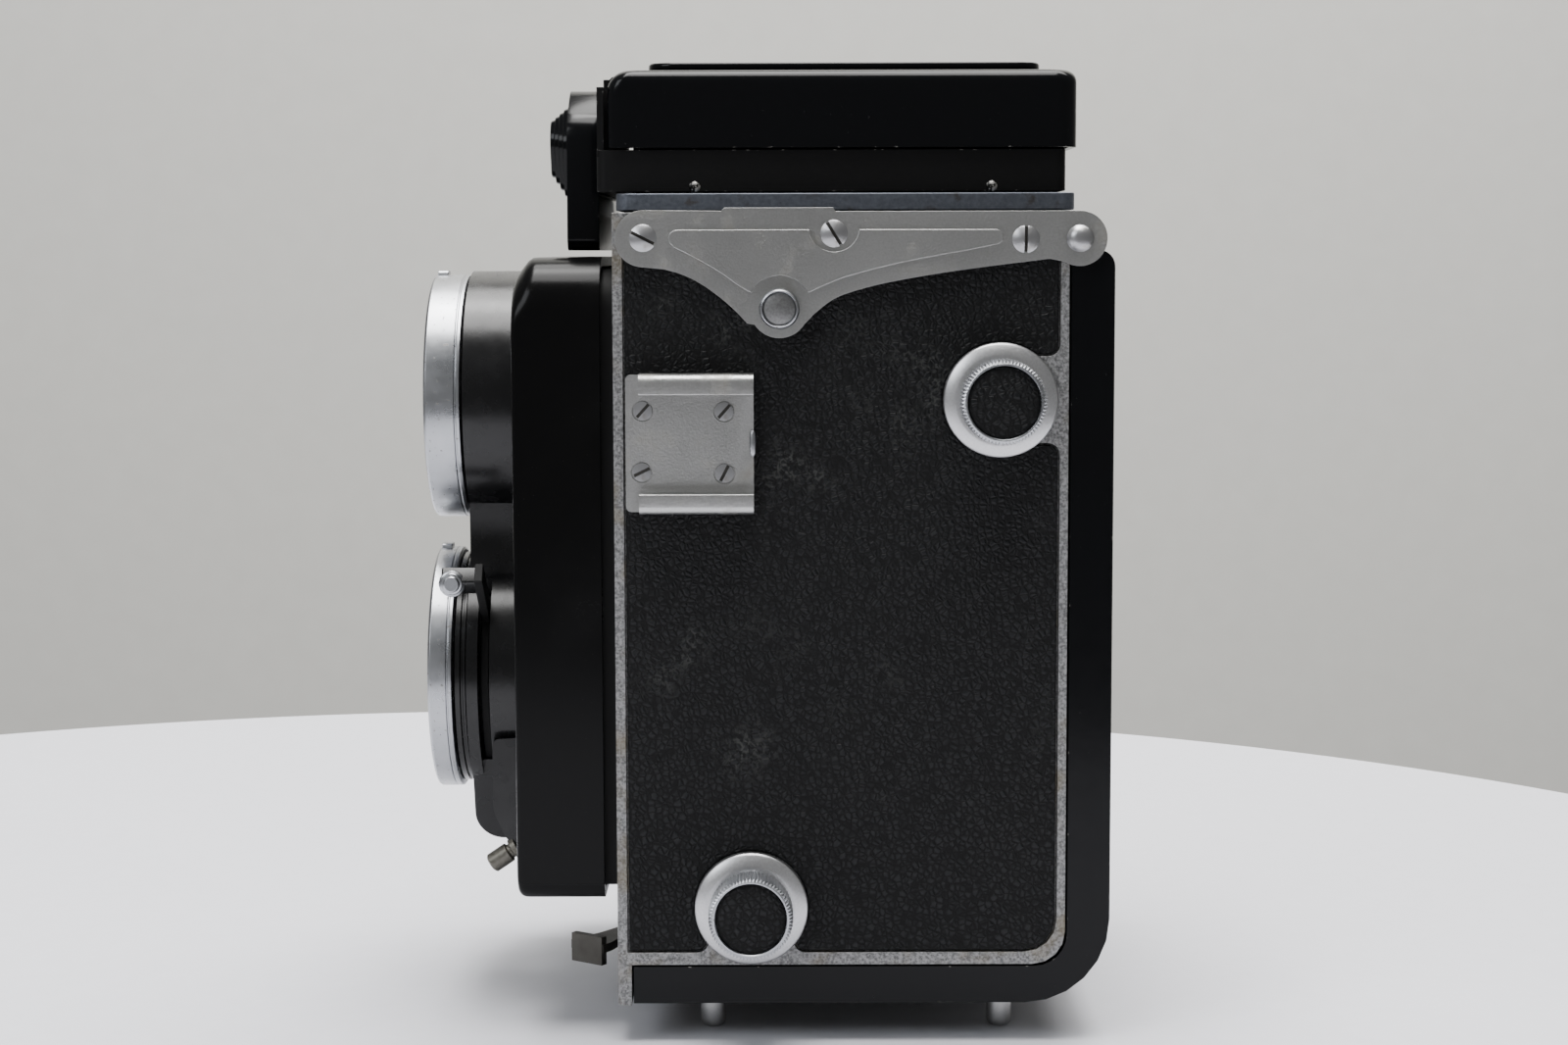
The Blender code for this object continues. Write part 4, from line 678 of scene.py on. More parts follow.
flat_black = Finish("flat_black", "black_alloy", (0.004, 0.004, 0.004), 0.6,
                    steady={"Specular IOR Level": 0.25})
nap = flat_black.noise(4200, 3)
flat_black.vary("Roughness", 0.5 + 0.25 * nap)
flat_black.vary("Base Color", flat_black.blend(nap, (0.0028, 0.0028, 0.0028), (0.0065, 0.0065, 0.0065)))
flat_black.relief(nap, 0.015)
finer("front_light_frame", flat_black, 0.3)


# ---------------------------------------------------------------- lens housing
# Both lenses sit in one waisted housing in gloss black, open at the sides for the
# two shutter levers.  A fairing on its lower right carries the flash terminal.

gloss_black = Finish("gloss_black", "black_alloy", (0.003, 0.003, 0.0033), 0.2,
                     steady={"Specular IOR Level": 0.4})
orange_peel = gloss_black.noise(420, 3)
gloss_black.vary("Roughness", 0.18 + 0.16 * orange_peel)
gloss_black.vary("Base Color", gloss_black.blend(
    gloss_black.noise(1800, 3).above(0.76, 0.8), (0.0032, 0.0032, 0.0036), (0.06, 0.06, 0.055)))
gloss_black.relief(orange_peel, 0.012)

housing_low, housing_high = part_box("lens_housing")
HOUSING_FRONT = (housing_low.y - FRONT) / MM
HOUSING_REAR = (housing_high.y - FRONT) / MM
LOBE = (housing_high.x - housing_low.x) / 2 / MM
FOOT = housing_low.z / MM
lean, rise = LOBE * 0.574, LOBE * 0.819
waist = flowing([(-lean, VIEWING - rise), (-11.3, (VIEWING + TAKING) / 2), (-lean, TAKING + rise)])[1:-1]
housing_edge = arc((0, VIEWING), LOBE, -55, 235, 72) + waist + arc((0, TAKING), LOBE, 125, 235, 32)
housing_edge += [(-8.0, FOOT), (8.0, FOOT)] + arc((0, TAKING), LOBE, -55, 55, 32)
housing_edge += [(-x, z) for x, z in reversed(waist)]
housing = pressed("housing", housing_edge, -HOUSING_REAR, -HOUSING_FRONT, "Y")
work(housing, "UNION", pressed("fairing", rounded([
    (HOUSING_REAR - 0.05, 26.6, 0), (-18.6, 26.8, 2.5), (-21.0, 32.0, 4.5), (-21.0, 43.6, 1.2),
    (HOUSING_REAR - 0.05, 43.9, 0)], 8), 9.0, 19.7, "X"))
TOE = 4.5
toe = arc((HOUSING_FRONT + TOE, FOOT + TOE), TOE, 180, 270, 12)
toe += [(HOUSING_FRONT + TOE, FOOT - 1), (HOUSING_FRONT - 1, FOOT - 1), (HOUSING_FRONT - 1, FOOT + TOE)]
work(housing, "DIFFERENCE", pressed("toe", toe, -LOBE - 1, LOBE + 1, "X"))
for height in (VIEWING, TAKING):
    work(housing, "DIFFERENCE", turned("bore", [(0, 12), (TUBE + 0.3, 12), (TUBE + 0.3, -2), (0, -2)],
                                       (0, HOUSING_REAR, height), "Y"))
work(housing, "DIFFERENCE", turned("race", [(0, 5.4), (18.5, 5.4), (18.5, 0), (0, 0)],
                                   (0, -18.2, TAKING), "Y"))
for sign, front, rear in ((1, -23.2, -21.3), (-1, -20.7, -18.8)):
    low, high = sorted((sign * 12.6, sign * (LOBE + 2)))
    work(housing, "DIFFERENCE", bar("window", (low, front, TAKING - 17.5), (high, rear, TAKING + 19.4)))
ease(housing, 0.45, 3, 40)
fit(housing, gloss_black, "lens_housing")


# ---------------------------------------------------------------- lens rings
# Each lens has a chromed bayonet ring with a fine groove near its rear edge and
# a small stop on top.  The viewing lens's ring is in one with its black tube.

RING = 19.8
RING_FRONT = -31.3
DEEP = HOUSING_FRONT - 0.3 - RING_FRONT
SEAT = 12.3

for lens, height in (("viewing", VIEWING), ("taking", TAKING)):
    body = frame["nodes"][lens + "_lens_ring"]["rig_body"]
    back = 0.0 if lens == "viewing" else 1.9
    hub = (0, HOUSING_FRONT - 0.3, height)
    bezel = turned(lens + "_bezel", [
        (SEAT + 1.2, DEEP - 3.2), (SEAT + 2.6, DEEP - 1.6), (RING - 2.9, DEEP - 0.9),
        (RING - 2.6, DEEP - 0.15), (RING - 2.3, DEEP), (RING - 0.7, DEEP), (RING - 0.25, DEEP - 0.12),
        (RING, DEEP - 0.45), (RING, back + 1.15), (RING - 0.14, back + 1.05), (RING - 0.14, back + 0.85),
        (RING, back + 0.75), (RING - 0.05, back + 0.25), (RING - 0.5, back), (SEAT + 1.2, back)],
        hub, "Y", 144)
    ease(bezel, 0.05, 2, 25)
    fit(bezel, chrome, lens + "_lens_ring")
    tail = TUBE + 0.8 if lens == "viewing" else 0.6
    cell = turned(lens + "_cell", [
        (SEAT - 1.3, DEEP - 2.8), (SEAT + 1.15, DEEP - 3.15), (SEAT + 1.15, -0.2), (TUBE, -0.25),
        (TUBE, -tail + 0.4), (SEAT + 0.7, -tail + 0.4), (SEAT + 0.7, -0.35), (SEAT, 0.0), (SEAT, 3.05),
        (SEAT - 1.3, 3.15)] if lens == "viewing" else [
        (SEAT - 1.3, DEEP - 2.8), (SEAT + 1.15, DEEP - 3.15), (SEAT + 1.15, 0.1), (SEAT, 0.1), (SEAT, 3.05),
        (SEAT - 1.3, 3.15)], hub, "Y", 96)
    ease(cell, 0.08, 2)
    fit(cell, flat_black, body=body)
    lug_edge = rounded([(-1.9, -0.6, 0.3), (1.9, -0.6, 0.3), (1.4, 0.8, 0.6), (-1.4, 0.8, 0.6)])
    lug = pressed(lens + "_lug", lug_edge, DEEP - 2.2, DEEP - 0.5, "Y",
                  place=(0, hub[1], height + RING - 0.1))
    ease(lug, 0.12, 2)
    fit(lug, chrome, body=body)

speed_ring = turned("speed_ring", [
    (13.6, 1.85), (18.6, 1.85), (18.9, 1.7), (18.9, 0.9), (18.4, 0.8), (18.4, 0.5), (19.0, 0.4), (19.0, 0.0),
    (13.6, 0.0)], (0, HOUSING_FRONT - 0.3, TAKING), "Y", 120)
ease(speed_ring, 0.04, 1)
fit(speed_ring, gloss_black, body=frame["nodes"]["taking_lens_ring"]["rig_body"])


# ---------------------------------------------------------------- glass and shutter
# The front elements are bloomed glass, convex to the front.  Behind the taking
# lens the shutter's case holds its closed blades and the rear element.

glass = Finish("bloomed_glass", "glass", (0.92, 0.94, 0.98), 0.02,
               steady={"Transmission Weight": 1.0, "IOR": 1.52, "Coat Weight": 0.6, "Coat Roughness": 0.02,
                       "Coat Tint": (0.72, 0.66, 1.0)})
smear = glass.noise(130, 3)
glass.vary("Roughness", 0.01 + 0.05 * smear.above(0.5, 0.8))

for lens, height in (("viewing", VIEWING), ("taking", TAKING)):
    leans = [math.pi / 2 * i / 14 for i in range(15)]
    dome = [(12.0 * math.sin(a), 3.0 - 2.2 * math.sin(a) ** 2) for a in leans]
    element = turned(lens + "_element", dome + [(12.0, 0.0), (8.0, 0.25), (0, 0.5)],
                     (0, HOUSING_FRONT - 0.3, height), "Y", 96)
    element.data.shade_smooth()
    element.data.set_sharp_from_angle(angle=math.radians(30))
    fit(element, glass, lens + "_lens_glass")

finer("shutter_case", flat_black, 0.2)
rear = turned("rear_element", [(0, 2.4), (4.0, 2.3), (7.0, 2.1), (9.3, 1.9), (9.3, 0.4), (6.0, 0.2), (0, 0)],
              (0, -10.0, TAKING), "Y", 72)
rear.data.shade_smooth()
rear.data.set_sharp_from_angle(angle=math.radians(40))
fit(rear, glass, "rear_lens_element")

blade_steel = Finish("blade_steel", "black_alloy", (0.05, 0.05, 0.055), 0.3, 0.9)
scuff = blade_steel.noise(900, 3)
blade_steel.vary("Roughness", 0.24 + 0.25 * scuff)
blade_steel.vary("Base Color", blade_steel.blend(scuff, (0.035, 0.035, 0.04), (0.08, 0.08, 0.085)))
for i in range(5):
    lean = math.radians(72 * i)
    blade_edge = rounded([(-1.6, -1.0, 0.4), (8.6, -1.5, 1.5), (9.2, 5.8, 1.0), (3.0, 7.4, 2.5)])
    blade = pressed("shutter_blade_%d" % (i + 1), blade_edge, -0.06 + 0.18 * i, 0.06 + 0.18 * i, "Y")
    blade.matrix_world = (Matrix.Translation(at(0, -19.0, TAKING)) @ PLANES["Y"].to_4x4()
                          @ Matrix.Rotation(lean, 4, "Z"))
    ease(blade, 0.03, 1)
    fit(blade, blade_steel, body=frame["nodes"]["shutter_case"]["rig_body"])


# ---------------------------------------------------------------- shutter levers
# Two flat rings turn round the shutter, one each side.  Each has an arm through the
# housing's window that ends in a square black block and a bright turned knob.

REACH = 29.9
ARM = 1.6
KNOB_Y = -26.5

for node, sign in (("speed_lever", 1), ("aperture_lever", -1)):
    rear_face = span(node)[1].y
    front_face = rear_face - 1.3
    lean = 36.7 if sign > 0 else 180 - 36.7
    half = math.degrees(math.asin(ARM / 18.0))
    along = Vector((math.cos(math.radians(lean)), math.sin(math.radians(lean))))
    across = Vector((-along.y, along.x))
    middle = Vector((0, TAKING))

    def spot(reach, offset):
        return tuple(middle + along * reach + across * offset)

    outline = arc(middle, 18.0, lean + half, lean + 360 - half, 90)
    outline += [spot(REACH + 0.9, -ARM), spot(REACH + 0.9, ARM)]
    lever = pressed(node + "_plate", outline, -rear_face, -front_face, "Y",
                    holes=[arc(middle, 15.6, 0, 360, 72)[:-1]])
    ease(lever, 0.15, 2)
    fit(lever, flat_black, node)
    body = frame["nodes"][node]["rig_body"]
    corners = ((REACH - 3.4, -1.5), (REACH + 0.2, -1.5), (REACH + 0.2, 1.5), (REACH - 3.4, 1.5))
    block = pressed(node + "_block", rounded([(*spot(*corner), 0.4) for corner in corners]),
                    -front_face - 0.2, -KNOB_Y + 1.7, "Y")
    ease(block, 0.3, 3)
    fit(block, gloss_black, body=body)
    x, z = spot(REACH - 2.2, 0)
    knob = turned(node + "_button", [(0, 3.3), (1.1, 3.3), (1.25, 3.15), (1.25, 2.9), (1.65, 2.8), (1.7, 2.4),
                                     (2.05, 2.2), (2.1, 2.0), (2.1, 0.3), (1.9, 0.0), (0, 0.0)],
                  (x, KNOB_Y, z), "X" if sign > 0 else "-X", 72)
    ease(knob, 0.08, 2)
    fit(knob, chrome, body=body)


# ---------------------------------------------------------------- flash terminal and release
# The flash terminal is a small bronze socket that leans out of the foot of the
# board.  The release is a plain chromed button in a collar at the other side.

bronze = Finish("dull_bronze", "brass", (0.22, 0.20, 0.16), 0.42, 0.9)
patina = bronze.noise(1300, 3)
bronze.vary("Base Color", bronze.blend(patina, (0.07, 0.065, 0.053), (0.22, 0.21, 0.185)))
bronze.vary("Roughness", 0.32 + 0.3 * patina)
_, terminal_high, terminal_middle = span("flash_terminal")
TERMINAL = (terminal_middle.x, terminal_high.y, terminal_middle.z)
socket = turned("terminal", [(0.7, 5.4), (1.25, 5.4), (1.6, 5.1), (1.6, 1.9), (1.2, 1.7), (1.2, 1.3),
                             (1.75, 1.1), (1.75, 0.2), (0.7, 0.2)], TERMINAL, "Y", 64)
socket.matrix_world = (Matrix.Translation(at(TERMINAL[0], TERMINAL[1] - 1.0, TERMINAL[2] + 0.4))
                       @ Matrix.Rotation(math.radians(34), 4, "X") @ PLANES["Y"].to_4x4())
ease(socket, 0.08, 2)
fit(socket, bronze, "flash_terminal")
terminal_pin = turned("terminal_pin", [(0, 4.7), (0.22, 4.6), (0.25, 0.0), (0, 0.0)], TERMINAL, "Y", 24)
terminal_pin.matrix_world = socket.matrix_world
terminal_pin.data.shade_smooth()
fit(terminal_pin, chrome, body=frame["nodes"]["flash_terminal"]["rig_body"])

button = turned("release", [(0, 6.6), (1.6, 6.65), (2.3, 6.9), (2.7, 6.9), (3.0, 6.7), (3.2, 6.2),
                            (3.2, -4.0), (0, -4.0)], BUTTON, "Y", 72)
ease(button, 0.12, 3)
fit(button, chrome, "release_button")
collar = turned("release_collar", [(3.6, 0.9), (4.6, 0.9), (5.0, 0.6), (5.2, 0.02), (3.6, 0.02)],
                BUTTON, "Y", 72)
ease(collar, 0.1, 2)
fit(collar, chrome, body=frame["nodes"]["lens_board"]["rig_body"])


# ---------------------------------------------------------------- focusing lever
# The focus is worked by a flat lever under the board, cut from sheet and bent up
# and down at its end for a finger.  It turns about a screw in the casting.

# The lever is dark metal, and its colour is set darker still as painted shade, for the shadow it lies in
# under the board; the grime noise only varies the tone.
shaded_dark_metal = Finish("shaded_dark_metal", "nickel", (0.27, 0.26, 0.24), 0.38, 1.0)
grime = shaded_dark_metal.noise(420, 4)
shaded_dark_metal.vary("Base Color", shaded_dark_metal.blend(grime, (0.03, 0.028, 0.024), (0.11, 0.106, 0.096)))
shaded_dark_metal.vary("Roughness", 0.28 + 0.3 * grime)
FOCUS_Z = span("focus_lever")[0].z + 2.2
FOCUS_PIVOT = (0, 6.3)
FOCUS_REACH = 22.0
FOCUS_LEAN = math.radians(55)
outward = Vector((math.sin(FOCUS_LEAN), -math.cos(FOCUS_LEAN)))
sideways = Vector((-outward.y, outward.x))


def along(reach, offset):
    """A place on the lever, out from its screw and to one side."""
    return tuple(Vector(FOCUS_PIVOT) + outward * reach + sideways * offset)


flare = [(12, 2.2), (FOCUS_REACH - 6, 2.3), (FOCUS_REACH - 2.5, 3.2), (FOCUS_REACH, 3.3)]
outline = arc(FOCUS_PIVOT, 3.0, 15, 275, 28) + flowing([along(reach, -half) for reach, half in flare])
outline += flowing([along(reach, half) for reach, half in reversed(flare)])
lever = pressed("focus_plate", outline, FOCUS_Z, FOCUS_Z + 1.4, "Z",
                holes=[arc(FOCUS_PIVOT, 1.5, 0, 360, 32)[:-1]])
tip = [along(FOCUS_REACH - 1.1, -3.1), along(FOCUS_REACH + 0.15, -3.1),
       along(FOCUS_REACH + 0.15, 3.1), along(FOCUS_REACH - 1.1, 3.1)]
work(lever, "UNION", pressed("focus_thumb", tip, FOCUS_Z - 2.0, FOCUS_Z + 2.6, "Z"))
ease(lever, 0.22, 3)
fit(lever, shaded_dark_metal, "focus_lever")
finer("focus_pivot_screw", pin_steel, 0.1)


# ---------------------------------------------------------------- door
# The back and the bottom are one black enamelled pressing that swings up on the
# two hinge pins.  It carries the pressure plate, four feet, the tripod socket and
# the ring that works its latch.

enamel = Finish("black_enamel", "black_enamel", (0.003, 0.003, 0.0036), 0.22,
                steady={"Specular IOR Level": 0.16})
orange = enamel.noise(350, 3)
worn = enamel.rims(0.35).above(0.05, 0.2) * enamel.noise(700, 3).above(0.64, 0.7)
scratch = enamel.noise(2300, 2).above(0.74, 0.78)
scratched = enamel.blend(scratch, (0.0030, 0.0032, 0.0038), (0.02, 0.02, 0.02))
enamel.vary("Base Color", enamel.blend(worn, scratched, (0.42, 0.41, 0.38)))
enamel.vary("Metallic", worn * 0.8)
enamel.vary("Roughness", 0.11 + 0.12 * orange + 0.15 * worn)
enamel.relief(orange, 0.012)
finer("back_door", enamel, 0.5, 3)
finer("back_leatherette", hide, 0.3)
finer("pressure_plate", flat_black, 0.3)

for side, sign in (("right", 1), ("left", -1)):
    for end in ("front", "rear"):
        node = "%s_%s_foot" % (side, end)
        middle = span(node)[2]
        foot = turned(node + "_turned", [
            (0, 5.9), (2.9, 5.9), (2.9, 5.0), (2.3, 4.6), (1.95, 4.4), (1.95, 1.0), (1.85, 0.55), (1.6, 0.2),
            (1.2, 0.03), (0, 0.0)], (middle.x, middle.y, 0), "Z", 64)
        foot.data.shade_smooth()
        foot.data.set_sharp_from_angle(angle=math.radians(50))
        fit(foot, nickel, node)

socket_low, socket_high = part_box("tripod_socket")
SOCKET = (0, ((socket_low.y + socket_high.y) / 2 - FRONT) / MM, socket_low.z / MM)
deep = (socket_high.z - socket_low.z) / MM
thread = [(3.2 + (0.28 if i % 2 else 0.0), deep - 0.1 - 0.32 * i) for i in range(9)]
screw_hole = turned("tripod_bush", [(3.5, 0.0), (9.2, 0.0), (9.5, 0.3), (9.5, deep), (3.2, deep)] + thread,
                    SOCKET, "Z", 96)
ease(screw_hole, 0.06, 1)
fit(screw_hole, chrome, "tripod_socket")
latch_low, latch_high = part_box("latch_ring")
LATCH = (0, SOCKET[1], latch_low.z / MM)
tall = (latch_high.z - latch_low.z) / MM
latch = turned("latch_turned", [(9.9, 0.0), (12.4, 0.0), (12.85, 0.2), (13.0, 0.6), (13.0, tall),
                                (9.9, tall)], LATCH, "Z", 144)
tab = bar("latch_tab", (11.5, LATCH[1] - 1.5, LATCH[2] + 0.2), (16.5, LATCH[1] + 1.5, LATCH[2] + tall - 0.2))
knurl(latch, 72, 12.9, 0.2)
work(latch, "UNION", tab)
ease(latch, 0.1, 2, 40)
fit(latch, chrome, "latch_ring")
finer("latch_bolt", pin_steel, 0.2)


# ---------------------------------------------------------------- winding
# The film is wound by a folding crank on the left, through gears in the casting, on
# to a black moulded take-up spool.

_, high, middle = span("crank_collar")
CRANK = (middle.y, middle.z)
dish = turned("crank_dish", [(4.2, 1.2), (8.6, 1.3), (9.4, 2.0), (10.2, 2.0), (10.8, 1.5), (11.0, 1.0),
                             (11.0, 0), (4.2, 0)], (high.x, *CRANK), "-X")
ease(dish, 0.1, 2)
fit(dish, chrome, "crank_collar")
finer("crank_arm", chrome, 0.35, 3)
crank_body = frame["nodes"]["crank_arm"]["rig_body"]
slotted("crank_screw", (span("crank_arm")[0].x, *CRANK), "-X", 3.0, 0.7, 35, crank_body)
low, high, middle = span("crank_grip")
long = high.x - low.x
grip = turned("crank_handle", [
    (0, long), (1.4, long), (1.8, long - 0.25), (2.8, long - 0.1), (3.5, long - 0.6), (3.9, long * 0.7),
    (4.1, long * 0.45), (3.7, long * 0.22), (3.0, 0.7), (3.0, 0.35), (2.6, 0.0), (0, 0)],
    (high.x, middle.y, middle.z), "-X", 72)
grip.data.shade_smooth()
grip.data.set_sharp_from_angle(angle=math.radians(40))
fit(grip, chrome, "crank_grip")

moulding = Finish("black_moulding", "black_plastic", (0.016, 0.016, 0.016), 0.4)
flow = moulding.noise(700, 3)
moulding.vary("Roughness", 0.3 + 0.25 * flow)
moulding.vary("Base Color", moulding.blend(flow, (0.012, 0.012, 0.012), (0.024, 0.024, 0.024)))
moulding.relief(flow, 0.01)
finer("take_up_spool", moulding, 0.3, 3)
finer("take_up_key", pin_steel, 0.2)


# ---------------------------------------------------------------- mirror and screen
# A silvered glass stands at forty five degrees behind the viewing lens, and throws
# its image up on to a ground glass with fine ruled lines.

silvering = Finish("silvering", "mirror", (0.86, 0.87, 0.87), 0.02, 1.0)
silvering.vary("Roughness", 0.01 + 0.06 * silvering.noise(300, 3).above(0.55, 0.8))
finer("reflex_mirror", silvering, 0.1)

ground_glass = Finish("ground_glass", "glass", (0.75, 0.77, 0.76), 0.45,
                      steady={"Transmission Weight": 0.75, "IOR": 1.5})
tooth = ground_glass.noise(9000, 2)
PITCH = 9.5


def ruling(way, first):
    """Thin lines along an axis, counted from a first one."""
    share = way.sum("PINGPONG", (way - first) * (1 / (PITCH * MM)), 0.5)
    return 1 - share.above(0.006, 0.012)


across = ground_glass.split(0)
screen_middle = at(*span("focusing_screen")[2])
ruled = across.sum("MAXIMUM", ruling(across, MIDDLE), ruling(ground_glass.split(1), screen_middle.y))
ground_glass.vary("Base Color", ground_glass.blend(ruled, (0.75, 0.77, 0.76), (0.05, 0.05, 0.05)))
ground_glass.vary("Roughness", 0.4 + 0.2 * tooth)
finer("focusing_screen", ground_glass, 0.1)


# ---------------------------------------------------------------- hood
# The focusing hood folds flat.  It stands on a blued steel plate: a black frame
# riveted through its foot, three folding panels inside, and a lid over all.

blued = Finish("blued_steel", "steel", (0.20, 0.23, 0.29), 0.36, 0.85)
mill = blued.noise(1900, 3)
rust = blued.noise(330, 4).above(0.6, 0.74)
fresh_blue = blued.blend(mill, (0.085, 0.094, 0.115), (0.185, 0.20, 0.235))
blued.vary("Base Color", blued.blend(rust * 0.7, fresh_blue, (0.07, 0.055, 0.04)))
blued.vary("Roughness", 0.28 + 0.3 * mill)
blued.relief(mill, 0.02)
finer("hood_base_plate", blued, 0.2, 3)

old_black = Finish("old_black", "black_enamel", (0.003, 0.003, 0.0033), 0.4,
                   steady={"Specular IOR Level": 0.15})
crust = old_black.noise(2800, 3)
bare = old_black.rims(0.3).above(0.06, 0.25) * old_black.noise(1100, 3).above(0.6, 0.67)
dulled = old_black.blend(crust, (0.0024, 0.0024, 0.0026), (0.0048, 0.0048, 0.0048))
old_black.vary("Base Color", old_black.blend(bare, dulled, (0.4, 0.39, 0.37)))
old_black.vary("Roughness", 0.42 + 0.22 * crust)
old_black.vary("Metallic", bare * 0.8)
old_black.relief(crust, 0.02)
finer("hood_frame", old_black, 0.35, 3)
worn_rivet = Finish("worn_rivet", "black_enamel", (0.1, 0.1, 0.1), 0.35, 0.7)
bright = worn_rivet.noise(1900, 2).above(0.46, 0.6)
worn_rivet.vary("Base Color", worn_rivet.blend(bright, (0.004, 0.004, 0.004), (0.42, 0.41, 0.39)))
FRAME_HALF = span("hood_frame")[1].x
hood_body = frame["nodes"]["hood_frame"]["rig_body"]
for side, sign in (("right", 1), ("left", -1)):
    for i, y in enumerate((12.3, 57.0)):
        rivet = turned("%s_rivet_%d" % (side, i + 1), [
            (0, 0.34), (0.3, 0.32), (0.62, 0.2), (0.85, 0.0), (0.9, -0.1), (0, -0.1)],
            (sign * FRAME_HALF, y, 130.6), "X" if sign > 0 else "-X", 40)
        rivet.data.shade_smooth()
        fit(rivet, worn_rivet, body=hood_body)
for panel in ("left_hood_panel", "right_hood_panel", "rear_hood_panel"):
    finer(panel, flat_black, 0.2)
finer("hood_catch", chrome, 0.3, 3)

lid_low, lid_high, _ = span("hood_lid")
LID_HALF, LID_REAR, LID_TOP = lid_high
LID_FRONT, LID_BOTTOM = lid_low.yz
CROWN = 1.9


def lid_ring(z, inset):
    """The lid's outline at a height, set in by the rounding of its top edge."""
    side = inset + fall(LID_TOP - inset - z, CROWN, CROWN * 0.92)
    front = inset * 0.6 + fall(LID_TOP - inset - z, 4.0, 3.2)
    half = LID_HALF - side
    outline = rounded([(-half, LID_FRONT + front, 2.2), (half, LID_FRONT + front, 2.2),
                       (half, LID_REAR - side, 3.2 - inset), (-half, LID_REAR - side, 3.2 - inset)], 8)
    return [(x, y, z) for x, y in outline]


WALL = 1.1
drops = (0.0, 0.03, 0.12, 0.3, 0.55, 0.85, 1.2, 1.6, 2.0, 2.6, 3.3, 4.1)
rings = [lid_ring(LID_TOP - drop, 0) for drop in drops]
rings += [lid_ring(LID_BOTTOM, 0), lid_ring(LID_BOTTOM, WALL)]
rings += [lid_ring(LID_TOP - WALL - drop, WALL) for drop in reversed(drops)]
lid = lofted("lid_pan", rings)
BARREL = 22.3
THROAT = LID_HALF - 1.2
work(lid, "DIFFERENCE",
     bar("lid_throat", (-THROAT, LID_FRONT - 1, LID_BOTTOM - 1), (THROAT, 2.2, LID_TOP - 2.5)),
     bar("lid_notch", (-BARREL, LID_FRONT - 1, LID_TOP - 3.5), (BARREL, 0.8, LID_TOP + 1)))
ease(lid, 0.12, 2, 40)
fit(lid, enamel, "hood_lid")
finer("finder_panel", enamel, 0.35, 3)
finer("magnifier_frame", old_black, 0.2)
curve = [(11.0 * math.sin(a), 0.3 + 1.1 * math.cos(a)) for a in (math.pi / 2 * i / 10 for i in range(11))]
loupe = turned("loupe", curve + [(r, -h) for r, h in reversed(curve)], span("magnifier_lens")[2], "Z", 72)
loupe.data.shade_smooth()
fit(loupe, glass, "magnifier_lens")


# ---------------------------------------------------------------- nameplate
# A thick enamelled panel closes the hood's front, with a plain stepped crest on it.

finer("front_nameplate", enamel, 0.5, 3)
crest_low, crest_high, crest_middle = span("front_badge")
CREST = crest_middle.z
STEPS = 5
RISE = (crest_low.y - crest_high.y) / STEPS


def crest_ring(half, low, high, y):
    """The crest's six-sided outline at a depth, widest a little above its middle."""
    widest = (low + high) / 2 + 1.5
    outline = rounded([(-half * 0.66, low, 2.0), (half * 0.66, low, 2.0), (half, widest, 3.0),
                       (half * 0.7, high, 2.0), (-half * 0.7, high, 2.0), (-half, widest, 3.0)])
    return [(x, y, z) for x, z in outline]


rings = []
for i in range(STEPS):
    share = i / STEPS
    half, low, high = 12.5 - 6.0 * share, CREST - 6.0 + 5.2 * share, CREST + 9.8 - 2.8 * share
    start = crest_high.y + RISE * i
    rings.append(crest_ring(half, low, high, start))
    rings.append(crest_ring(half - 0.25, low + 0.25, high - 0.25, start + RISE))
crest = lofted("crest", rings)
ease(crest, 0.14, 2, 35)
fit(crest, enamel, "front_badge")


# ---------------------------------------------------------------- table, wall and light
# The camera stands on a round white table in front of a pale wall, under a wide
# soft light from above and a weaker one from the front left.

table_top = Finish("white_table", "", (0.68, 0.68, 0.72), 0.6)
cloth = table_top.noise(220, 4)
table_top.vary("Base Color", table_top.blend(cloth, (0.655, 0.66, 0.71), (0.705, 0.71, 0.76)))
table_top.vary("Roughness", 0.55 + 0.15 * cloth)
disc = turned("table", [(0, 0), (296, 0), (300, -4), (300, -20), (0, -20)], (30, -34, 0), "Z", 180)
disc.data.shade_smooth()
disc.data.set_sharp_from_angle(angle=math.radians(30))
disc.data.materials.append(table_top.material)

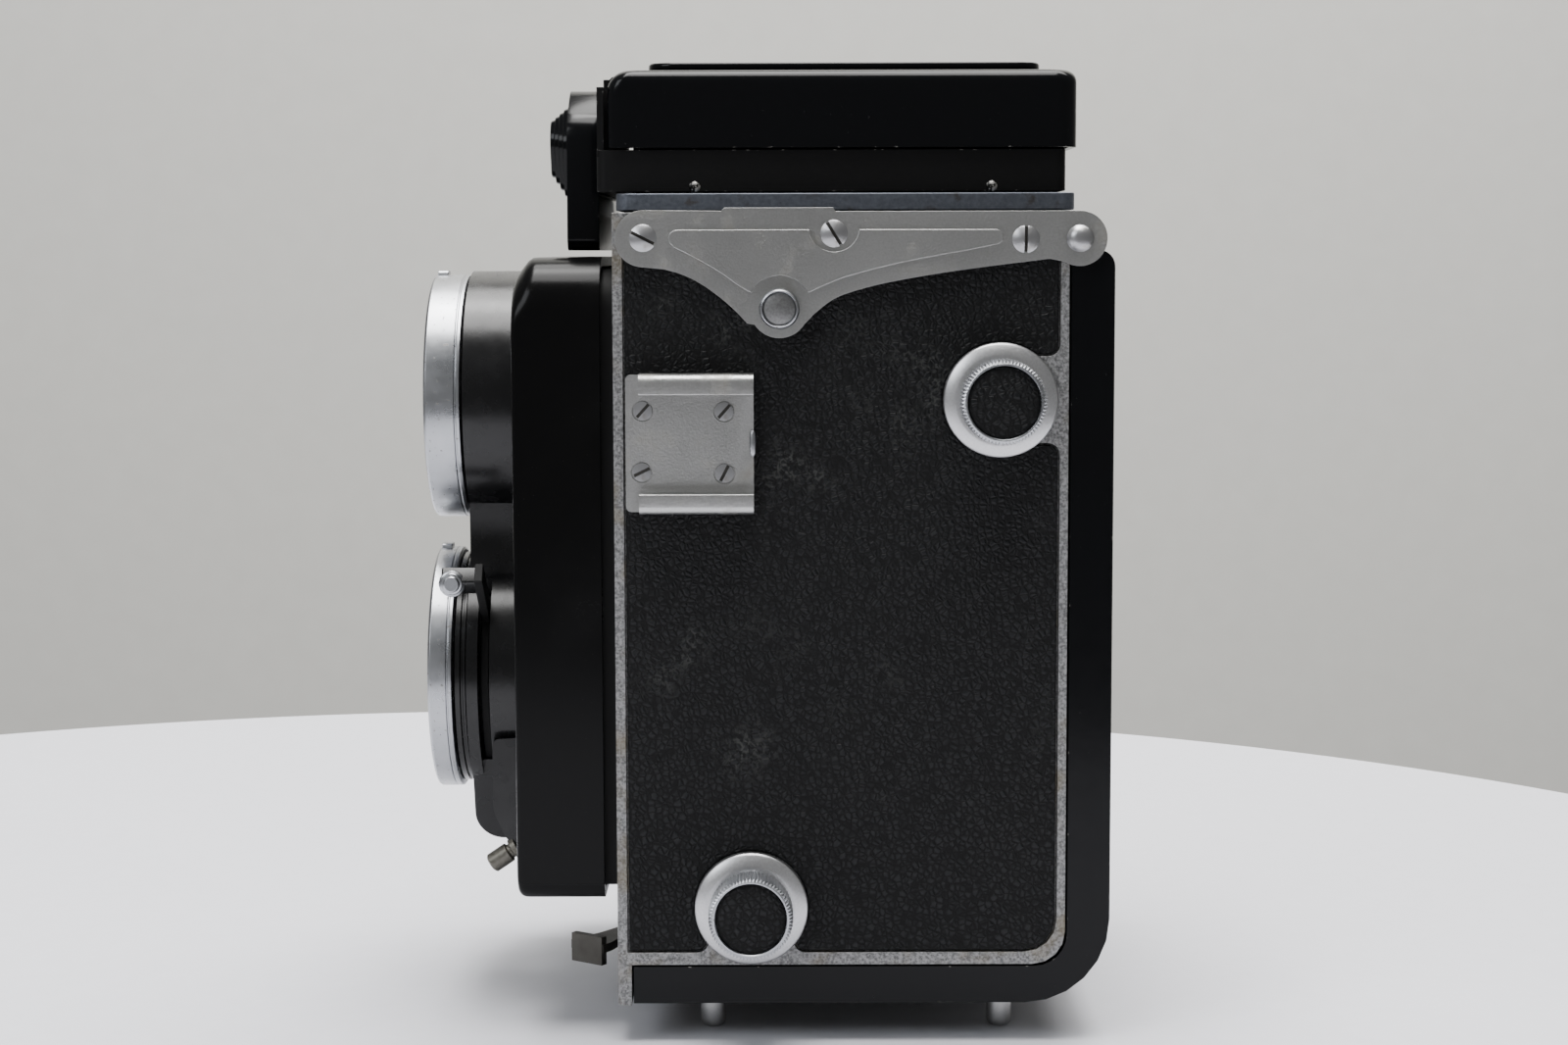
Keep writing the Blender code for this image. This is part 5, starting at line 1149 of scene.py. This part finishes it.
plaster = Finish("pale_wall", "", (0.62, 0.61, 0.58), 0.9)
weave = plaster.noise(60, 4)
plaster.vary("Base Color", plaster.blend(weave, (0.56, 0.555, 0.53), (0.61, 0.605, 0.58)))
wall = pressed("wall", [(-3000, -900), (3000, -900), (3000, 2200), (-3000, 2200)], -1320, -1300, "X")
wall.data.materials.append(plaster.material)
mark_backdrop(disc, wall)


def lamp(name, place, aim, size, power, colour):
    """A soft square light at a place, turned to what it lights."""
    data = bpy.data.lights.new(name, "AREA")
    data.size = size
    data.energy = power
    data.color = colour
    made = bpy.data.objects.new(name, data)
    bpy.context.scene.collection.objects.link(made)
    made.location = at(*place)
    made.rotation_euler = (at(*aim) - made.location).to_track_quat("-Z", "Y").to_euler()
    made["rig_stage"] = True


lamp("ceiling", (160, 0, 1100), (0, 30, 60), 0.62, 18.0, (1.0, 0.99, 0.98))
lamp("window", (700, -700, 700), (0, 0, 80), 0.5, 5.0, (0.93, 0.96, 1.0))
lamp("wall_wash", (-500, 200, 1500), (-1300, 0, 300), 1.2, 52.0, (1.0, 0.99, 0.97))

world = bpy.data.worlds.new("room")
world.use_nodes = True
world.node_tree.nodes["Background"].inputs["Color"].default_value = (0.80, 0.80, 0.79, 1)
world.node_tree.nodes["Background"].inputs["Strength"].default_value = 0.29
bpy.context.scene.world = world

lens = bpy.data.cameras.new("view")
lens.lens = 62.78
lens.sensor_width = 36.0
lens.clip_start = 0.01
eye = bpy.data.objects.new("view", lens)
bpy.context.scene.collection.objects.link(eye)
down = math.radians(5.67)
roll = math.radians(0.16)
right = Vector((0, 1, 0))
upward = Vector((-math.sin(down), 0, math.cos(down)))
rolled = right * math.cos(roll) - upward * math.sin(roll)
upward = upward * math.cos(roll) + right * math.sin(roll)
turn = Matrix((rolled, upward, rolled.cross(upward))).transposed()
eye.matrix_world = Matrix.Translation(at(450.0, 25.6, 120.95)) @ turn.to_4x4()
bpy.context.scene.camera = eye

low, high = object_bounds()
{"cad": [list(cad_low), list(cad_high)], "visual": [list(low), list(high)]}
